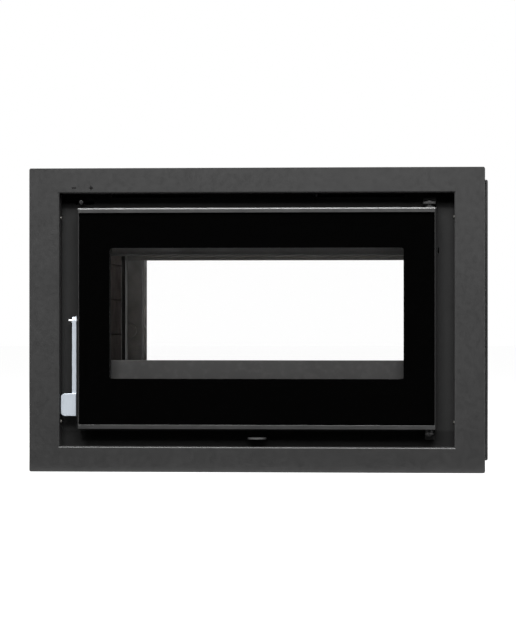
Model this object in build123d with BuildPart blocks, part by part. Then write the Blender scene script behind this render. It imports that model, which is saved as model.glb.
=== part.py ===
from build123d import *
import os
from math import cos, radians, sin, sqrt

# Double-sided fireplace insert: a closed firebox between two upright face plates, a glazed door
# with a drop handle on each side, a convection casing around the firebox and a flat trim frame
# on the front and on the rear. Millimetres. X runs to the right as seen from the front, Y from
# the front to the rear and Z up. The origin is on the floor under the middle of the insert.
# "Depth" is a distance behind the front face. The rear side is the mirror image of the front
# in the plane y = 0, and only the front has the two air controls.

os.makedirs("parts", exist_ok=True)

# ---- Overall size and trim frames --------------------------------------------------------------
FRAME_WIDTH = 900.0
FRAME_HEIGHT = 600.0
DEPTH = 600.0              # front face of the front frame to rear face of the rear frame
FRAME_SIDE = 60.0          # width of the upright borders
FRAME_RAIL = 50.0          # height of the top and bottom borders
FRAME_SHEET = 3.0
FRAME_CORNER = 3.5         # radius of the outline's corners
FRAME_RETURN = 25.0        # depth of the outer folded edge
RECESS = 40.0              # depth of the face plate behind the frame's face
MARK_SIZE = 8.5            # plus and minus cut in the frame above the air knob
MARK_STROKE = 2.0
MARK_HEIGHT = 11.0         # of the marks' middle above the frame's opening

# ---- Face plates and casing --------------------------------------------------------------------
PLATE_SHEET = 4.0
CASING_SIDE_INSET = 30.0   # casing behind the frame's outline
CASING_TOP_INSET = 20.0
CASING_SHEET = 2.0
CASING_FLANGE = 15.0
FOOT_HEIGHT = 20.0         # floor to the underside of the casing
FIRE_OPENING_SIDE = 62.0   # fire opening inside the door's side edges
FIRE_OPENING_SILL = 65.0   # above the door's lower edge
FIRE_OPENING_HEAD = 61.2   # below the door's upper edge
HOT_SLOT_LENGTH = 183.0    # hot air outlets under the frame's top return
HOT_SLOT_HEIGHT = 5.0
HOT_SLOT_MIDDLE = 200.0    # from the middle of the insert to the middle of a slot
HOT_SLOT_DROP = 4.0        # middle of a slot below the frame's opening
GAUGE_SLOT_LENGTH = 11.0   # small upright slot beside the hinge edge of the door
GAUGE_SLOT_WIDTH = 2.2
GAUGE_SLOT_GAP = 3.0       # from the door's edge
GAUGE_SLOT_DROP = 84.2     # middle of the slot below the door's upper edge

# ---- Frame tabs and screws ---------------------------------------------------------------------
TAB_SHEET = 3.0
TAB_HEIGHT = 25.0
TAB_REACH = 25.0           # length of the leg beside the frame's inner return
TAB_FOOT = 16.0            # length of the leg on the face plate
FRAME_SCREW_INSET = 48.0   # from the top and bottom of the frame's opening
FRAME_SCREW_DEPTH = 22.0
SCREW_RADIUS = 2.5
SCREW_HEAD_RADIUS = 4.5
SCREW_HEAD_HEIGHT = 2.5
SCREW_END_LENGTH = 4.0     # past the sheets that it holds

# ---- Firebox -----------------------------------------------------------------------------------
FIREBOX_SIDE_GAP = 66.0    # between the casing and the firebox's side walls
FIREBOX_SHEET = 4.0
BRICK_LENGTH = 230.0
BRICK_HEIGHT = 72.0
BRICK_THICKNESS = 30.0
BRICK_EDGE = 1.5           # bevel along the brick's edges
HEARTH_THICKNESS = 30.0
HEARTH_DROP = 24.0         # hearth below the fire opening
RETAINER_SHEET = 3.0
RETAINER_FOOT = 18.0
DUCT_WIDTH = 35.0          # upright air ducts in the four corners
DUCT_SHEET = 2.0
DUCT_FROM_PLATE = 41.0
LINTEL_FROM_PLATE = 16.0
LINTEL_SHEET = 3.0
LINTEL_DROP = 32.5         # lower edge below the top of the fire opening
LINTEL_HEM = 5.0
LINTEL_END_GAP = 1.0
GUARD_FROM_PLATE = 16.0
GUARD_SHEET = 4.0
GUARD_FOOT = 26.0
GUARD_END_GAP = 2.0
FRONT_GUARD_HEIGHT = 94.0  # above the hearth
REAR_GUARD_HEIGHT = 79.0
GRATE_WIDTH = 218.0
GRATE_LENGTH = 158.0
GRATE_PLATE = 14.0
GRATE_RIM = 9.0
GRATE_SLOT = 10.0
GRATE_SLOT_PITCH = 18.0
GRATE_GAP = 1.0            # around the grate, between it and the hearth slabs
ASH_HOLE_RIM = 14.0        # ledge of the floor plate under the grate's skirt
PAN_GAP = 3.0              # around the ash pan in the floor's hole
PAN_SHEET = 1.5
PAN_TOP_GAP = 6.0          # under the floor plate
BAFFLE_THICKNESS = 25.0
BAFFLE_LENGTH = 380.0
BAFFLE_GAP = 2.0
DEFLECTOR_WIDTH = 420.0
DEFLECTOR_LENGTH = 300.0
DEFLECTOR_HEIGHT = 18.0
DEFLECTOR_SHEET = 3.0
SMOKE_GAP = 13.0           # between the upper baffle and the roof

# ---- Flue and outside air ----------------------------------------------------------------------
FLUE_BORE = 100.5          # radius of the socket for a 200 mm flue pipe
FLUE_WALL = 2.5
FLUE_STOP_WIDTH = 4.0
FLUE_STOP_HEIGHT = 5.0
FLUE_SOCKET = 60.0         # depth of the socket
FLUE_CASING_GAP = 2.0
INLET_BORE = 61.0          # radius inside the 125 mm outside air spigot
INLET_WALL = 1.5
INLET_FLANGE = 7.0
INLET_BOTTOM = 4.0

# ---- Primary air -------------------------------------------------------------------------------
AIR_BOX_MARGIN = 3.0       # around the spigot's flange
AIR_BOX_SHEET = 1.5
AIR_BOX_TO_PAN = 4.0       # between the box and the ash pan
PULL_WIDTH = 37.0          # half-round pull tab under the door
PULL_THICKNESS = 4.0
PULL_DROP = 17.0           # below the door
PULL_FRONT = 8.0
PULL_BACK_GAP = 6.0        # between the tab and the face plate
PULL_BAR_WIDTH = 24.0
PULL_SLOT_GAP = 1.0        # around the bar in the face plate
SHUTTER_SETBACK = 14.0     # from the box's front
SHUTTER_LENGTH = 90.0
SHUTTER_WIDTH = 130.0
SHUTTER_RAIL = 3.0
PORT_WIDTH = 90.0
PORT_LENGTH = 28.0
PORT_OVERLAP = 7.0         # shutter past the port's far edge when pushed in
SLIDE_GAP = 0.3

# ---- Air wash (secondary air) ------------------------------------------------------------------
WASH_DUCT_DEPTH = 40.0
WASH_DUCT_HEIGHT = 37.0
WASH_DUCT_SHEET = 2.0
WASH_DUCT_OVER_KNOB = 8.0  # top of the duct above the knob's axis
WASH_DUCT_LEFT_GAP = 13.0  # between the duct's end and the casing
WASH_DUCT_RIGHT_INSET = 8.0  # of the duct's other end from the firebox's wall
WASH_SLOT_LENGTH = 120.0   # outlets down behind the lintel
WASH_SLOT_WIDTH = 8.0
WASH_SLOT_PITCH = 150.0
WASH_SLOT_COUNT = 4
KNOB_SIDE_GAP = 42.0       # axis to the frame's opening, sideways
KNOB_DROP = 17.0           # axis below the frame's opening
KNOB_RADIUS = 4.15
KNOB_FRONT = 8.0
KNOB_LENGTH = 14.0
KNOB_EDGE = 0.8
ROD_RADIUS = 2.5
ROD_SLOT_GAP = 0.7
KNOB_TO_MINUS = 13.0       # travel to the left, towards the minus mark
KNOB_TO_PLUS = 21.0        # travel to the right, towards the plus mark
SLIDER_LENGTH = 72.0
SLIDER_EDGE_GAP = 2.0      # above and below the slider in the duct
SLIDER_SHEET = 2.0
WASH_PORT_WIDTH = 16.0
WASH_PORT_HEIGHT = 20.0
WASH_PORT_PITCH = 40.0

# ---- Doors -------------------------------------------------------------------------------------
DOOR_SIDE_GAP = 35.0
DOOR_TOP_GAP = 28.8
DOOR_BOTTOM_GAP = 35.0
SURROUND_SHEET = 2.5
SURROUND_GAP = 10.0        # back edge of the surround to the face plate
LIP_SIDE = 3.2
LIP_TOP = 9.5
LIP_BOTTOM = 8.0
LIP_BEVEL = 2.4
GLASS_THICKNESS = 4.0
GLASS_GAP = 0.5            # glass edge to surround
SEAL_THICKNESS = 2.0
SEAL_WIDTH = 12.0
CARRIER_SHEET = 3.0
ROPE_INSET = 1.0           # rope outside the edge of the fire opening
ROPE_WIDTH = 10.0
ROPE_GROOVE = 8.0
ROPE_ROUND = 3.5
ROPE_GAP = 0.3             # rope to face plate
CHANNEL_INNER_WALL = 2.5
CHANNEL_OUTER_WALL = 4.0
CHANNEL_GAP = 4.0          # rope channel to face plate

# ---- Hinges ------------------------------------------------------------------------------------
HINGE_EDGE = 14.0          # hinge axis from the door's edge
HINGE_DEPTH = 18.0
PIN_RADIUS = 4.0
PIN_CLEARANCE = 0.05
PIN_HEAD_RADIUS = 6.0
PIN_HEAD = 2.0
BUSH_RADIUS = 6.0
BUSH_LENGTH = 28.0
BUSH_FLANGE_RADIUS = 9.0
BUSH_FLANGE = 3.0
THRUST_GAP = 0.3
PIN_SHORT = 4.0            # pin ends this far inside the bush
BLOCK_HEIGHT = 40.0
BLOCK_WIDTH = 24.0
BLOCK_GAP = 6.0            # to the face plate
TOP_LUG_WIDTH = 26.0
TOP_LUG_THICKNESS = 5.0
TOP_LUG_GAP = 6.3          # lug above the door
BOTTOM_LUG_WIDTH = 18.0
BOTTOM_LUG_THICKNESS = 4.0
BOTTOM_LUG_GAP = 7.0       # lug below the door
LUG_FRONT = 10.0
LUG_ROUND = 5.0
LUG_BASE_SHEET = 3.0
LUG_BASE_HEIGHT = 14.0

# ---- Handles and latches -----------------------------------------------------------------------
SHAFT_RADIUS = 4.15
SHAFT_CLEARANCE = 0.05
SHAFT_HOLE_GAP = 0.35      # around the shaft in the surround
SHAFT_DEPTH = 18.0
SHAFT_RISE = 213.0         # above the door's lower edge
SHAFT_PROUD = 8.0          # shaft end beyond the lever
SHAFT_EDGE = 0.8
LEVER_THICKNESS = 8.6
LEVER_GAP = 2.4            # lever to door
LEVER_EYE = 9.0
LEVER_WIDTH = 12.0
LEVER_RISE = 24.5          # lower end above the door's lower edge
GRIP_WIDTH = 30.5
GRIP_HEIGHT = 45.0
GRIP_THICKNESS = 4.0
GRIP_CORNER = 8.0
GRIP_EDGE = 0.8
LATCH_BLOCK_WIDTH = 15.0
LATCH_BLOCK_HEIGHT = 24.0
LATCH_BLOCK_GAP = 10.0     # to the face plate
POCKET_HOLE = 11.0
POCKET_RADIUS = 14.5
POCKET_WALL = 2.0
POCKET_DEPTH = 14.0
HOOK_THICKNESS = 8.0
HOOK_GAP = 5.0             # to the rope channel
HOOK_INNER = 29.0
HOOK_OUTER = 35.0
HOOK_HUB = 6.0
HOOK_TIP_ANGLE = -35.0     # from the shaft, 0 is straight back and -90 straight down
HOOK_HEEL_ANGLE = -65.0
HOOK_ARM_WIDTH = 7.0
HOOK_ARM_ANGLE = -58.0
HOOK_ARM_LAP = 2.5         # end of the arm inside the finger
SHAFT_PAST_HOOK = 1.0

# ---- Feet and casing screws --------------------------------------------------------------------
FOOT_RADIUS = 18.0
FOOT_PAD = 6.0
FOOT_STEM = 5.0
FOOT_STEM_PAST = 18.0      # above the casing's floor
FOOT_HOLE_GAP = 0.5
FOOT_INSET = 40.0
NUT_FLATS = 17.0
NUT_HEIGHT = 8.0
CASING_SCREW_PITCH = 200.0
CASING_SCREW_COUNT = 3
VENT_LENGTH = 60.0         # convection air inlets in the casing's bottom
VENT_WIDTH = 8.0
VENT_PITCH = 16.0
VENT_COUNT = 8
VENT_FROM_SIDE = 75.0

# ---- Worked out from the sizes above -----------------------------------------------------------
HALF_DEPTH = DEPTH / 2
OPENING_WIDTH = FRAME_WIDTH - 2 * FRAME_SIDE
OPENING_HALF = OPENING_WIDTH / 2
OPENING_BOTTOM = FRAME_RAIL
OPENING_TOP = FRAME_HEIGHT - FRAME_RAIL
PLATE_BACK = RECESS + PLATE_SHEET
INNER_HALF = HALF_DEPTH - PLATE_BACK
CASING_HALF = FRAME_WIDTH / 2 - CASING_SIDE_INSET
CASING_TOP = FRAME_HEIGHT - CASING_TOP_INSET
CASING_FLOOR = FOOT_HEIGHT + CASING_SHEET
DOOR_HALF = OPENING_HALF - DOOR_SIDE_GAP
DOOR_BOTTOM = OPENING_BOTTOM + DOOR_BOTTOM_GAP
DOOR_TOP = OPENING_TOP - DOOR_TOP_GAP
FIRE_OPENING_WIDTH = 2 * (DOOR_HALF - FIRE_OPENING_SIDE)
FIRE_OPENING_BOTTOM = DOOR_BOTTOM + FIRE_OPENING_SILL
FIRE_OPENING_TOP = DOOR_TOP - FIRE_OPENING_HEAD
KNOB_X = KNOB_SIDE_GAP - OPENING_HALF
KNOB_Z = OPENING_TOP - KNOB_DROP
WASH_DUCT_TOP = KNOB_Z + WASH_DUCT_OVER_KNOB
FIREBOX_HALF = CASING_HALF - CASING_SHEET - FIREBOX_SIDE_GAP - FIREBOX_SHEET
ROOF_TOP = WASH_DUCT_TOP - WASH_DUCT_HEIGHT
ROOF_UNDERSIDE = ROOF_TOP - FIREBOX_SHEET
HEARTH_TOP = FIRE_OPENING_BOTTOM - HEARTH_DROP
FLOOR_TOP = HEARTH_TOP - HEARTH_THICKNESS
FLOOR_UNDERSIDE = FLOOR_TOP - FIREBOX_SHEET
LINING_HALF = FIREBOX_HALF - BRICK_THICKNESS
LINING_TOP = ROOF_UNDERSIDE - SMOKE_GAP - DEFLECTOR_HEIGHT - BAFFLE_THICKNESS
LINTEL_BOTTOM = FIRE_OPENING_TOP - LINTEL_DROP
WALL_HALF = DOOR_HALF - SURROUND_SHEET
WALL_BOTTOM = DOOR_BOTTOM + SURROUND_SHEET
WALL_TOP = DOOR_TOP - SURROUND_SHEET
GLASS_BACK = SURROUND_SHEET + GLASS_THICKNESS
SEAL_BACK = GLASS_BACK + SEAL_THICKNESS
CARRIER_BACK = SEAL_BACK + CARRIER_SHEET
SURROUND_DEPTH = RECESS - SURROUND_GAP
BLOCK_BACK = RECESS - BLOCK_GAP
LATCH_BLOCK_BACK = RECESS - LATCH_BLOCK_GAP
CHANNEL_BACK = RECESS - CHANNEL_GAP
ROPE_FRONT = CHANNEL_BACK - ROPE_GROOVE
ROPE_INNER_WIDTH = FIRE_OPENING_WIDTH + 2 * ROPE_INSET
ROPE_INNER_BOTTOM = FIRE_OPENING_BOTTOM - ROPE_INSET
ROPE_INNER_TOP = FIRE_OPENING_TOP + ROPE_INSET
CHANNEL_HALF = ROPE_INNER_WIDTH / 2 + ROPE_WIDTH + CHANNEL_OUTER_WALL
HINGE_X = DOOR_HALF - HINGE_EDGE
TOP_LUG_BOTTOM = DOOR_TOP + TOP_LUG_GAP
BOTTOM_LUG_TOP = DOOR_BOTTOM - BOTTOM_LUG_GAP
LEVER_RIGHT = -DOOR_HALF - LEVER_GAP
LEVER_LEFT = LEVER_RIGHT - LEVER_THICKNESS
LEVER_FRONT = SHAFT_DEPTH - LEVER_EYE
LEVER_BOTTOM = DOOR_BOTTOM + LEVER_RISE
SHAFT_Z = DOOR_BOTTOM + SHAFT_RISE
LATCH_X = CHANNEL_HALF + HOOK_GAP + HOOK_THICKNESS / 2
HOOK_MIDDLE = (HOOK_INNER + HOOK_OUTER) / 2
POCKET_Z = SHAFT_Z - sqrt(HOOK_MIDDLE**2 - (RECESS + PLATE_SHEET / 2 - SHAFT_DEPTH) ** 2)
PAN_HALF_WIDTH = GRATE_WIDTH / 2 - ASH_HOLE_RIM - PAN_GAP
PAN_HALF_LENGTH = GRATE_LENGTH / 2 - ASH_HOLE_RIM - PAN_GAP
INLET_OUTER = INLET_BORE + INLET_WALL
AIR_BOX_HALF = INLET_OUTER + INLET_FLANGE + AIR_BOX_MARGIN + AIR_BOX_SHEET
INLET_Y = -PAN_HALF_LENGTH - AIR_BOX_TO_PAN - AIR_BOX_HALF
PULL_TOP = DOOR_BOTTOM - PULL_DROP
PULL_BOTTOM = PULL_TOP - PULL_THICKNESS
PULL_BACK = RECESS - PULL_BACK_GAP
SHUTTER_START = INLET_Y - AIR_BOX_HALF + HALF_DEPTH + SHUTTER_SETBACK
FRAME_SCREW_HEIGHTS = (OPENING_BOTTOM + FRAME_SCREW_INSET, OPENING_TOP - FRAME_SCREW_INSET)


# ---- Helpers -----------------------------------------------------------------------------------
def y_at(depth):
    """Y of a point this far behind the front face."""
    return depth - HALF_DEPTH


def front(depth):
    """Upright plane, seen from the front, this far behind the front face; local y is height."""
    return Plane.XZ.offset(HALF_DEPTH - depth)


def upright(width, bottom, top, mode=Mode.ADD):
    """Rectangle of an upright sketch, centred from side to side, between two heights."""
    with Locations((0, (bottom + top) / 2)):
        Rectangle(width, top - bottom, mode=mode)


def ring_around(width, bottom, top, wall):
    """Rectangular ring whose hole has the given width and heights."""
    upright(width + 2 * wall, bottom - wall, top + wall)
    upright(width, bottom, top, mode=Mode.SUBTRACT)


def block(x_span, y_span, z_span, mode=Mode.ADD):
    """Box between a pair of values along each axis."""
    spans = (x_span, y_span, z_span)
    middle = tuple((low + high) / 2 for low, high in spans)
    with Locations(middle):
        Box(*(high - low for low, high in spans), mode=mode)


def keep(piece, name):
    """Label a finished piece and write it to its own file."""
    piece.label = name
    export_step(piece, f"parts/{name}.step")


def keep_pair(piece, name):
    """Write a piece of the front side and its mirror image on the rear side."""
    keep(piece, f"front_{name}")
    keep(mirror(piece, about=Plane.XZ), f"rear_{name}")


# ---- Trim frames -------------------------------------------------------------------------------
with BuildPart() as trim_frame:
    with BuildSketch(front(FRAME_SHEET)):
        with Locations((0, FRAME_HEIGHT / 2)):
            RectangleRounded(FRAME_WIDTH, FRAME_HEIGHT, FRAME_CORNER)
        upright(OPENING_WIDTH, OPENING_BOTTOM, OPENING_TOP, mode=Mode.SUBTRACT)
    extrude(amount=FRAME_SHEET)
    with BuildSketch(front(FRAME_RETURN)):
        with Locations((0, FRAME_HEIGHT / 2)):
            RectangleRounded(FRAME_WIDTH, FRAME_HEIGHT, FRAME_CORNER)
        upright(FRAME_WIDTH - 2 * FRAME_SHEET, FRAME_SHEET, FRAME_HEIGHT - FRAME_SHEET, mode=Mode.SUBTRACT)
    extrude(amount=FRAME_RETURN - FRAME_SHEET)
    with BuildSketch(front(RECESS)):
        ring_around(OPENING_WIDTH, OPENING_BOTTOM, OPENING_TOP, FRAME_SHEET)
    extrude(amount=RECESS - FRAME_SHEET)
    # Screw holes through both upright inner returns.
    for height in FRAME_SCREW_HEIGHTS:
        with BuildSketch(Plane.YZ):
            with Locations((y_at(FRAME_SCREW_DEPTH), height)):
                Circle(SCREW_RADIUS)
        extrude(amount=OPENING_HALF + FRAME_SHEET, both=True, mode=Mode.SUBTRACT)

with BuildPart() as front_trim_frame:
    add(trim_frame.part)
    with BuildSketch(front(FRAME_SHEET)):
        with Locations((KNOB_X - KNOB_TO_MINUS, OPENING_TOP + MARK_HEIGHT)):
            Rectangle(MARK_SIZE, MARK_STROKE)
        with Locations((KNOB_X + KNOB_TO_PLUS, OPENING_TOP + MARK_HEIGHT)):
            Rectangle(MARK_SIZE, MARK_STROKE)
            Rectangle(MARK_STROKE, MARK_SIZE)
    extrude(amount=FRAME_SHEET, mode=Mode.SUBTRACT)
keep(front_trim_frame.part, "front_trim_frame")
keep(mirror(trim_frame.part, about=Plane.XZ), "rear_trim_frame")

# Button-head screws from the recess through the frame's return into the tabs of the face plate.
with BuildPart() as frame_screws:
    for height in FRAME_SCREW_HEIGHTS:
        with BuildSketch(Plane.YZ.offset(OPENING_HALF)):
            with Locations((y_at(FRAME_SCREW_DEPTH), height)):
                Circle(SCREW_RADIUS)
        extrude(amount=FRAME_SHEET + TAB_SHEET + SCREW_END_LENGTH)
        with BuildSketch(Plane.YZ.offset(OPENING_HALF - SCREW_HEAD_HEIGHT)):
            with Locations((y_at(FRAME_SCREW_DEPTH), height)):
                Circle(SCREW_HEAD_RADIUS)
        extrude(amount=SCREW_HEAD_HEIGHT)
    fillet(frame_screws.edges().filter_by(GeomType.CIRCLE).group_by(Axis.X)[0], SCREW_HEAD_HEIGHT / 2)
    mirror(about=Plane.YZ)
    mirror(about=Plane.XZ)
keep(frame_screws.part, "frame_screws")

# ---- Face plates with their welded frame tabs --------------------------------------------------
with BuildPart() as face_plate:
    with BuildSketch(front(PLATE_BACK)):
        upright(2 * CASING_HALF, FOOT_HEIGHT, CASING_TOP)
        upright(FIRE_OPENING_WIDTH, FIRE_OPENING_BOTTOM, FIRE_OPENING_TOP, mode=Mode.SUBTRACT)
        with GridLocations(2 * HOT_SLOT_MIDDLE, 0, 2, 1):
            with Locations((0, OPENING_TOP - HOT_SLOT_DROP)):
                SlotOverall(HOT_SLOT_LENGTH, HOT_SLOT_HEIGHT, mode=Mode.SUBTRACT)
        with Locations((-LATCH_X, POCKET_Z)):
            Circle(POCKET_HOLE, mode=Mode.SUBTRACT)
        with Locations((DOOR_HALF + GAUGE_SLOT_GAP, DOOR_TOP - GAUGE_SLOT_DROP)):
            Rectangle(GAUGE_SLOT_WIDTH, GAUGE_SLOT_LENGTH, mode=Mode.SUBTRACT)
    extrude(amount=PLATE_SHEET)
    tab_inside = OPENING_HALF + FRAME_SHEET
    for side in (-1, 1):
        for height in FRAME_SCREW_HEIGHTS:
            tab_z = (height - TAB_HEIGHT / 2, height + TAB_HEIGHT / 2)
            leg_x = sorted((side * tab_inside, side * (tab_inside + TAB_SHEET)))
            foot_x = sorted((side * tab_inside, side * (tab_inside + TAB_FOOT)))
            block(leg_x, (y_at(RECESS - TAB_REACH), y_at(RECESS)), tab_z)
            block(foot_x, (y_at(RECESS - TAB_SHEET), y_at(RECESS)), tab_z)
    for height in FRAME_SCREW_HEIGHTS:
        with BuildSketch(Plane.YZ):
            with Locations((y_at(FRAME_SCREW_DEPTH), height)):
                Circle(SCREW_RADIUS)
        extrude(amount=CASING_HALF, both=True, mode=Mode.SUBTRACT)

with BuildPart() as front_face_plate:
    add(face_plate.part)
    with BuildSketch(front(PLATE_BACK)):
        rod_middle = KNOB_X + (KNOB_TO_PLUS - KNOB_TO_MINUS) / 2
        rod_slot = 2 * (ROD_RADIUS + ROD_SLOT_GAP)
        with Locations((rod_middle, KNOB_Z)):
            SlotOverall(KNOB_TO_PLUS + KNOB_TO_MINUS + rod_slot, rod_slot)
        with Locations((0, PULL_BOTTOM + PULL_THICKNESS / 2)):
            Rectangle(PULL_BAR_WIDTH + 2 * PULL_SLOT_GAP, PULL_THICKNESS + 2 * PULL_SLOT_GAP)
    extrude(amount=PLATE_SHEET, mode=Mode.SUBTRACT)
keep(front_face_plate.part, "front_face_plate")
keep(mirror(face_plate.part, about=Plane.XZ), "rear_face_plate")

# Closed cups behind the latch holes, so that the holes don't leak into the firebox.
with BuildPart() as latch_pockets:
    with BuildSketch(front(PLATE_BACK + POCKET_DEPTH)):
        with Locations((-LATCH_X, POCKET_Z)):
            Circle(POCKET_RADIUS)
    extrude(amount=POCKET_DEPTH)
    with BuildSketch(front(PLATE_BACK + POCKET_DEPTH - POCKET_WALL)):
        with Locations((-LATCH_X, POCKET_Z)):
            Circle(POCKET_RADIUS - POCKET_WALL)
    extrude(amount=POCKET_DEPTH - POCKET_WALL, mode=Mode.SUBTRACT)
    fillet(latch_pockets.edges().group_by(Axis.Y)[-1], POCKET_WALL / 2)
    mirror(about=Plane.XZ)
keep(latch_pockets.part, "latch_pockets")

# ---- Casing ------------------------------------------------------------------------------------
inner_y = (-INNER_HALF, INNER_HALF)
screw_ys = [(i - (CASING_SCREW_COUNT - 1) / 2) * CASING_SCREW_PITCH for i in range(CASING_SCREW_COUNT)]
screw_zs = (FOOT_HEIGHT + CASING_FLANGE / 2, CASING_TOP - CASING_FLANGE / 2)


def cut_casing_screw_holes():
    """Holes along X for the casing screws, through whatever panel is being built."""
    with BuildSketch(Plane.YZ) as holes:
        for z in screw_zs:
            for y in screw_ys:
                with Locations((y, z)):
                    Circle(SCREW_RADIUS)
    extrude(holes.sketch, amount=CASING_HALF, both=True, mode=Mode.SUBTRACT)


with BuildPart() as casing_right:
    block((CASING_HALF - CASING_SHEET, CASING_HALF), inner_y, (FOOT_HEIGHT, CASING_TOP))
    cut_casing_screw_holes()
keep(casing_right.part, "casing_right")
keep(mirror(casing_right.part, about=Plane.YZ), "casing_left")

panel_x = (CASING_SHEET - CASING_HALF, CASING_HALF - CASING_SHEET)
flange_x = (CASING_HALF - 2 * CASING_SHEET, CASING_HALF - CASING_SHEET)

with BuildPart() as casing_top:
    block(panel_x, inner_y, (CASING_TOP - CASING_SHEET, CASING_TOP))
    block(flange_x, inner_y, (CASING_TOP - CASING_FLANGE, CASING_TOP))
    mirror(about=Plane.YZ)
    cut_casing_screw_holes()
    with BuildSketch(Plane.XY.offset(CASING_TOP - CASING_SHEET)):
        Circle(FLUE_BORE + FLUE_WALL + FLUE_CASING_GAP)
    extrude(amount=CASING_SHEET, mode=Mode.SUBTRACT)
keep(casing_top.part, "casing_top")

with BuildPart() as casing_bottom:
    block(panel_x, inner_y, (FOOT_HEIGHT, CASING_FLOOR))
    block(flange_x, inner_y, (FOOT_HEIGHT, FOOT_HEIGHT + CASING_FLANGE))
    mirror(about=Plane.YZ)
    cut_casing_screw_holes()
    with BuildSketch(Plane.XY.offset(FOOT_HEIGHT)):
        with Locations((0, INLET_Y)):
            Circle(INLET_OUTER)
        with GridLocations(2 * (CASING_HALF - FOOT_INSET), 2 * (INNER_HALF - FOOT_INSET), 2, 2):
            Circle(FOOT_STEM + FOOT_HOLE_GAP)
        with GridLocations(2 * (CASING_HALF - VENT_FROM_SIDE), VENT_PITCH, 2, VENT_COUNT):
            SlotOverall(VENT_LENGTH, VENT_WIDTH)
    extrude(amount=CASING_SHEET, mode=Mode.SUBTRACT)
keep(casing_bottom.part, "casing_bottom")

with BuildPart() as casing_screws:
    for z in screw_zs:
        with BuildSketch(Plane.YZ.offset(CASING_HALF - 2 * CASING_SHEET - SCREW_END_LENGTH)):
            for y in screw_ys:
                with Locations((y, z)):
                    Circle(SCREW_RADIUS)
        extrude(amount=2 * CASING_SHEET + SCREW_END_LENGTH)
        with BuildSketch(Plane.YZ.offset(CASING_HALF)):
            for y in screw_ys:
                with Locations((y, z)):
                    Circle(SCREW_HEAD_RADIUS)
        extrude(amount=SCREW_HEAD_HEIGHT)
    mirror(about=Plane.YZ)
keep(casing_screws.part, "casing_screws")

# ---- Levelling feet ----------------------------------------------------------------------------
foot_grid = (2 * (CASING_HALF - FOOT_INSET), 2 * (INNER_HALF - FOOT_INSET), 2, 2)

with BuildPart() as levelling_feet:
    with BuildSketch(Plane.XY):
        with GridLocations(*foot_grid):
            Circle(FOOT_RADIUS)
    extrude(amount=FOOT_PAD)
    with BuildSketch(Plane.XY.offset(FOOT_PAD)):
        with GridLocations(*foot_grid):
            Circle(FOOT_STEM)
    extrude(amount=CASING_FLOOR + FOOT_STEM_PAST - FOOT_PAD)
keep(levelling_feet.part, "levelling_feet")

with BuildPart() as foot_nuts:
    with BuildSketch(Plane.XY.offset(FOOT_HEIGHT - NUT_HEIGHT)):
        with GridLocations(*foot_grid):
            RegularPolygon(NUT_FLATS / 2, 6, major_radius=False)
            Circle(FOOT_STEM, mode=Mode.SUBTRACT)
    extrude(amount=NUT_HEIGHT)
keep(foot_nuts.part, "foot_nuts")

# ---- Firebox walls -----------------------------------------------------------------------------
with BuildPart() as firebox_right_wall:
    block((FIREBOX_HALF, FIREBOX_HALF + FIREBOX_SHEET), inner_y, (FLOOR_UNDERSIDE, ROOF_TOP))
keep(firebox_right_wall.part, "firebox_right_wall")
keep(mirror(firebox_right_wall.part, about=Plane.YZ), "firebox_left_wall")

ash_hole = (GRATE_WIDTH - 2 * ASH_HOLE_RIM, GRATE_LENGTH - 2 * ASH_HOLE_RIM)
wash_slot_y = INNER_HALF - LINTEL_FROM_PLATE / 2

with BuildPart() as firebox_floor:
    block((-FIREBOX_HALF, FIREBOX_HALF), inner_y, (FLOOR_UNDERSIDE, FLOOR_TOP))
    with BuildSketch(Plane.XY.offset(FLOOR_UNDERSIDE)):
        Rectangle(*ash_hole)
    extrude(amount=FIREBOX_SHEET, mode=Mode.SUBTRACT)
keep(firebox_floor.part, "firebox_floor")

with BuildPart() as firebox_roof:
    block((-FIREBOX_HALF, FIREBOX_HALF), inner_y, (ROOF_UNDERSIDE, ROOF_TOP))
    with BuildSketch(Plane.XY.offset(ROOF_UNDERSIDE)):
        Circle(FLUE_BORE - FLUE_STOP_WIDTH)
        with GridLocations(WASH_SLOT_PITCH, 2 * wash_slot_y, WASH_SLOT_COUNT, 2):
            SlotOverall(WASH_SLOT_LENGTH, WASH_SLOT_WIDTH)
    extrude(amount=FIREBOX_SHEET, mode=Mode.SUBTRACT)
keep(firebox_roof.part, "firebox_roof")

# ---- Side bricks, retainers and corner ducts ---------------------------------------------------
duct_y = (INNER_HALF - DUCT_FROM_PLATE - DUCT_WIDTH, INNER_HALF - DUCT_FROM_PLATE)
duct_x = (LINING_HALF, FIREBOX_HALF)


def side_bricks():
    """Courses of firebricks on the right wall, the top course cut to the lining's height."""
    courses = []
    course_bottom = HEARTH_TOP
    while course_bottom < LINING_TOP:
        course_top = min(course_bottom + BRICK_HEIGHT, LINING_TOP)
        with BuildPart() as brick:
            block(duct_x, (-BRICK_LENGTH / 2, BRICK_LENGTH / 2), (course_bottom, course_top))
            edge = min(BRICK_EDGE, (course_top - course_bottom) / 4)
            chamfer(brick.edges().group_by(Axis.X)[0], edge)
        courses.append(brick.part.solid())
        course_bottom = course_top
    return Compound(children=courses)


right_side_bricks = side_bricks()
keep(right_side_bricks, "right_side_bricks")
left_side_bricks = Compound(
    children=[mirror(course, about=Plane.YZ).solid() for course in side_bricks().solids()]
)
keep(left_side_bricks, "left_side_bricks")

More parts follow.
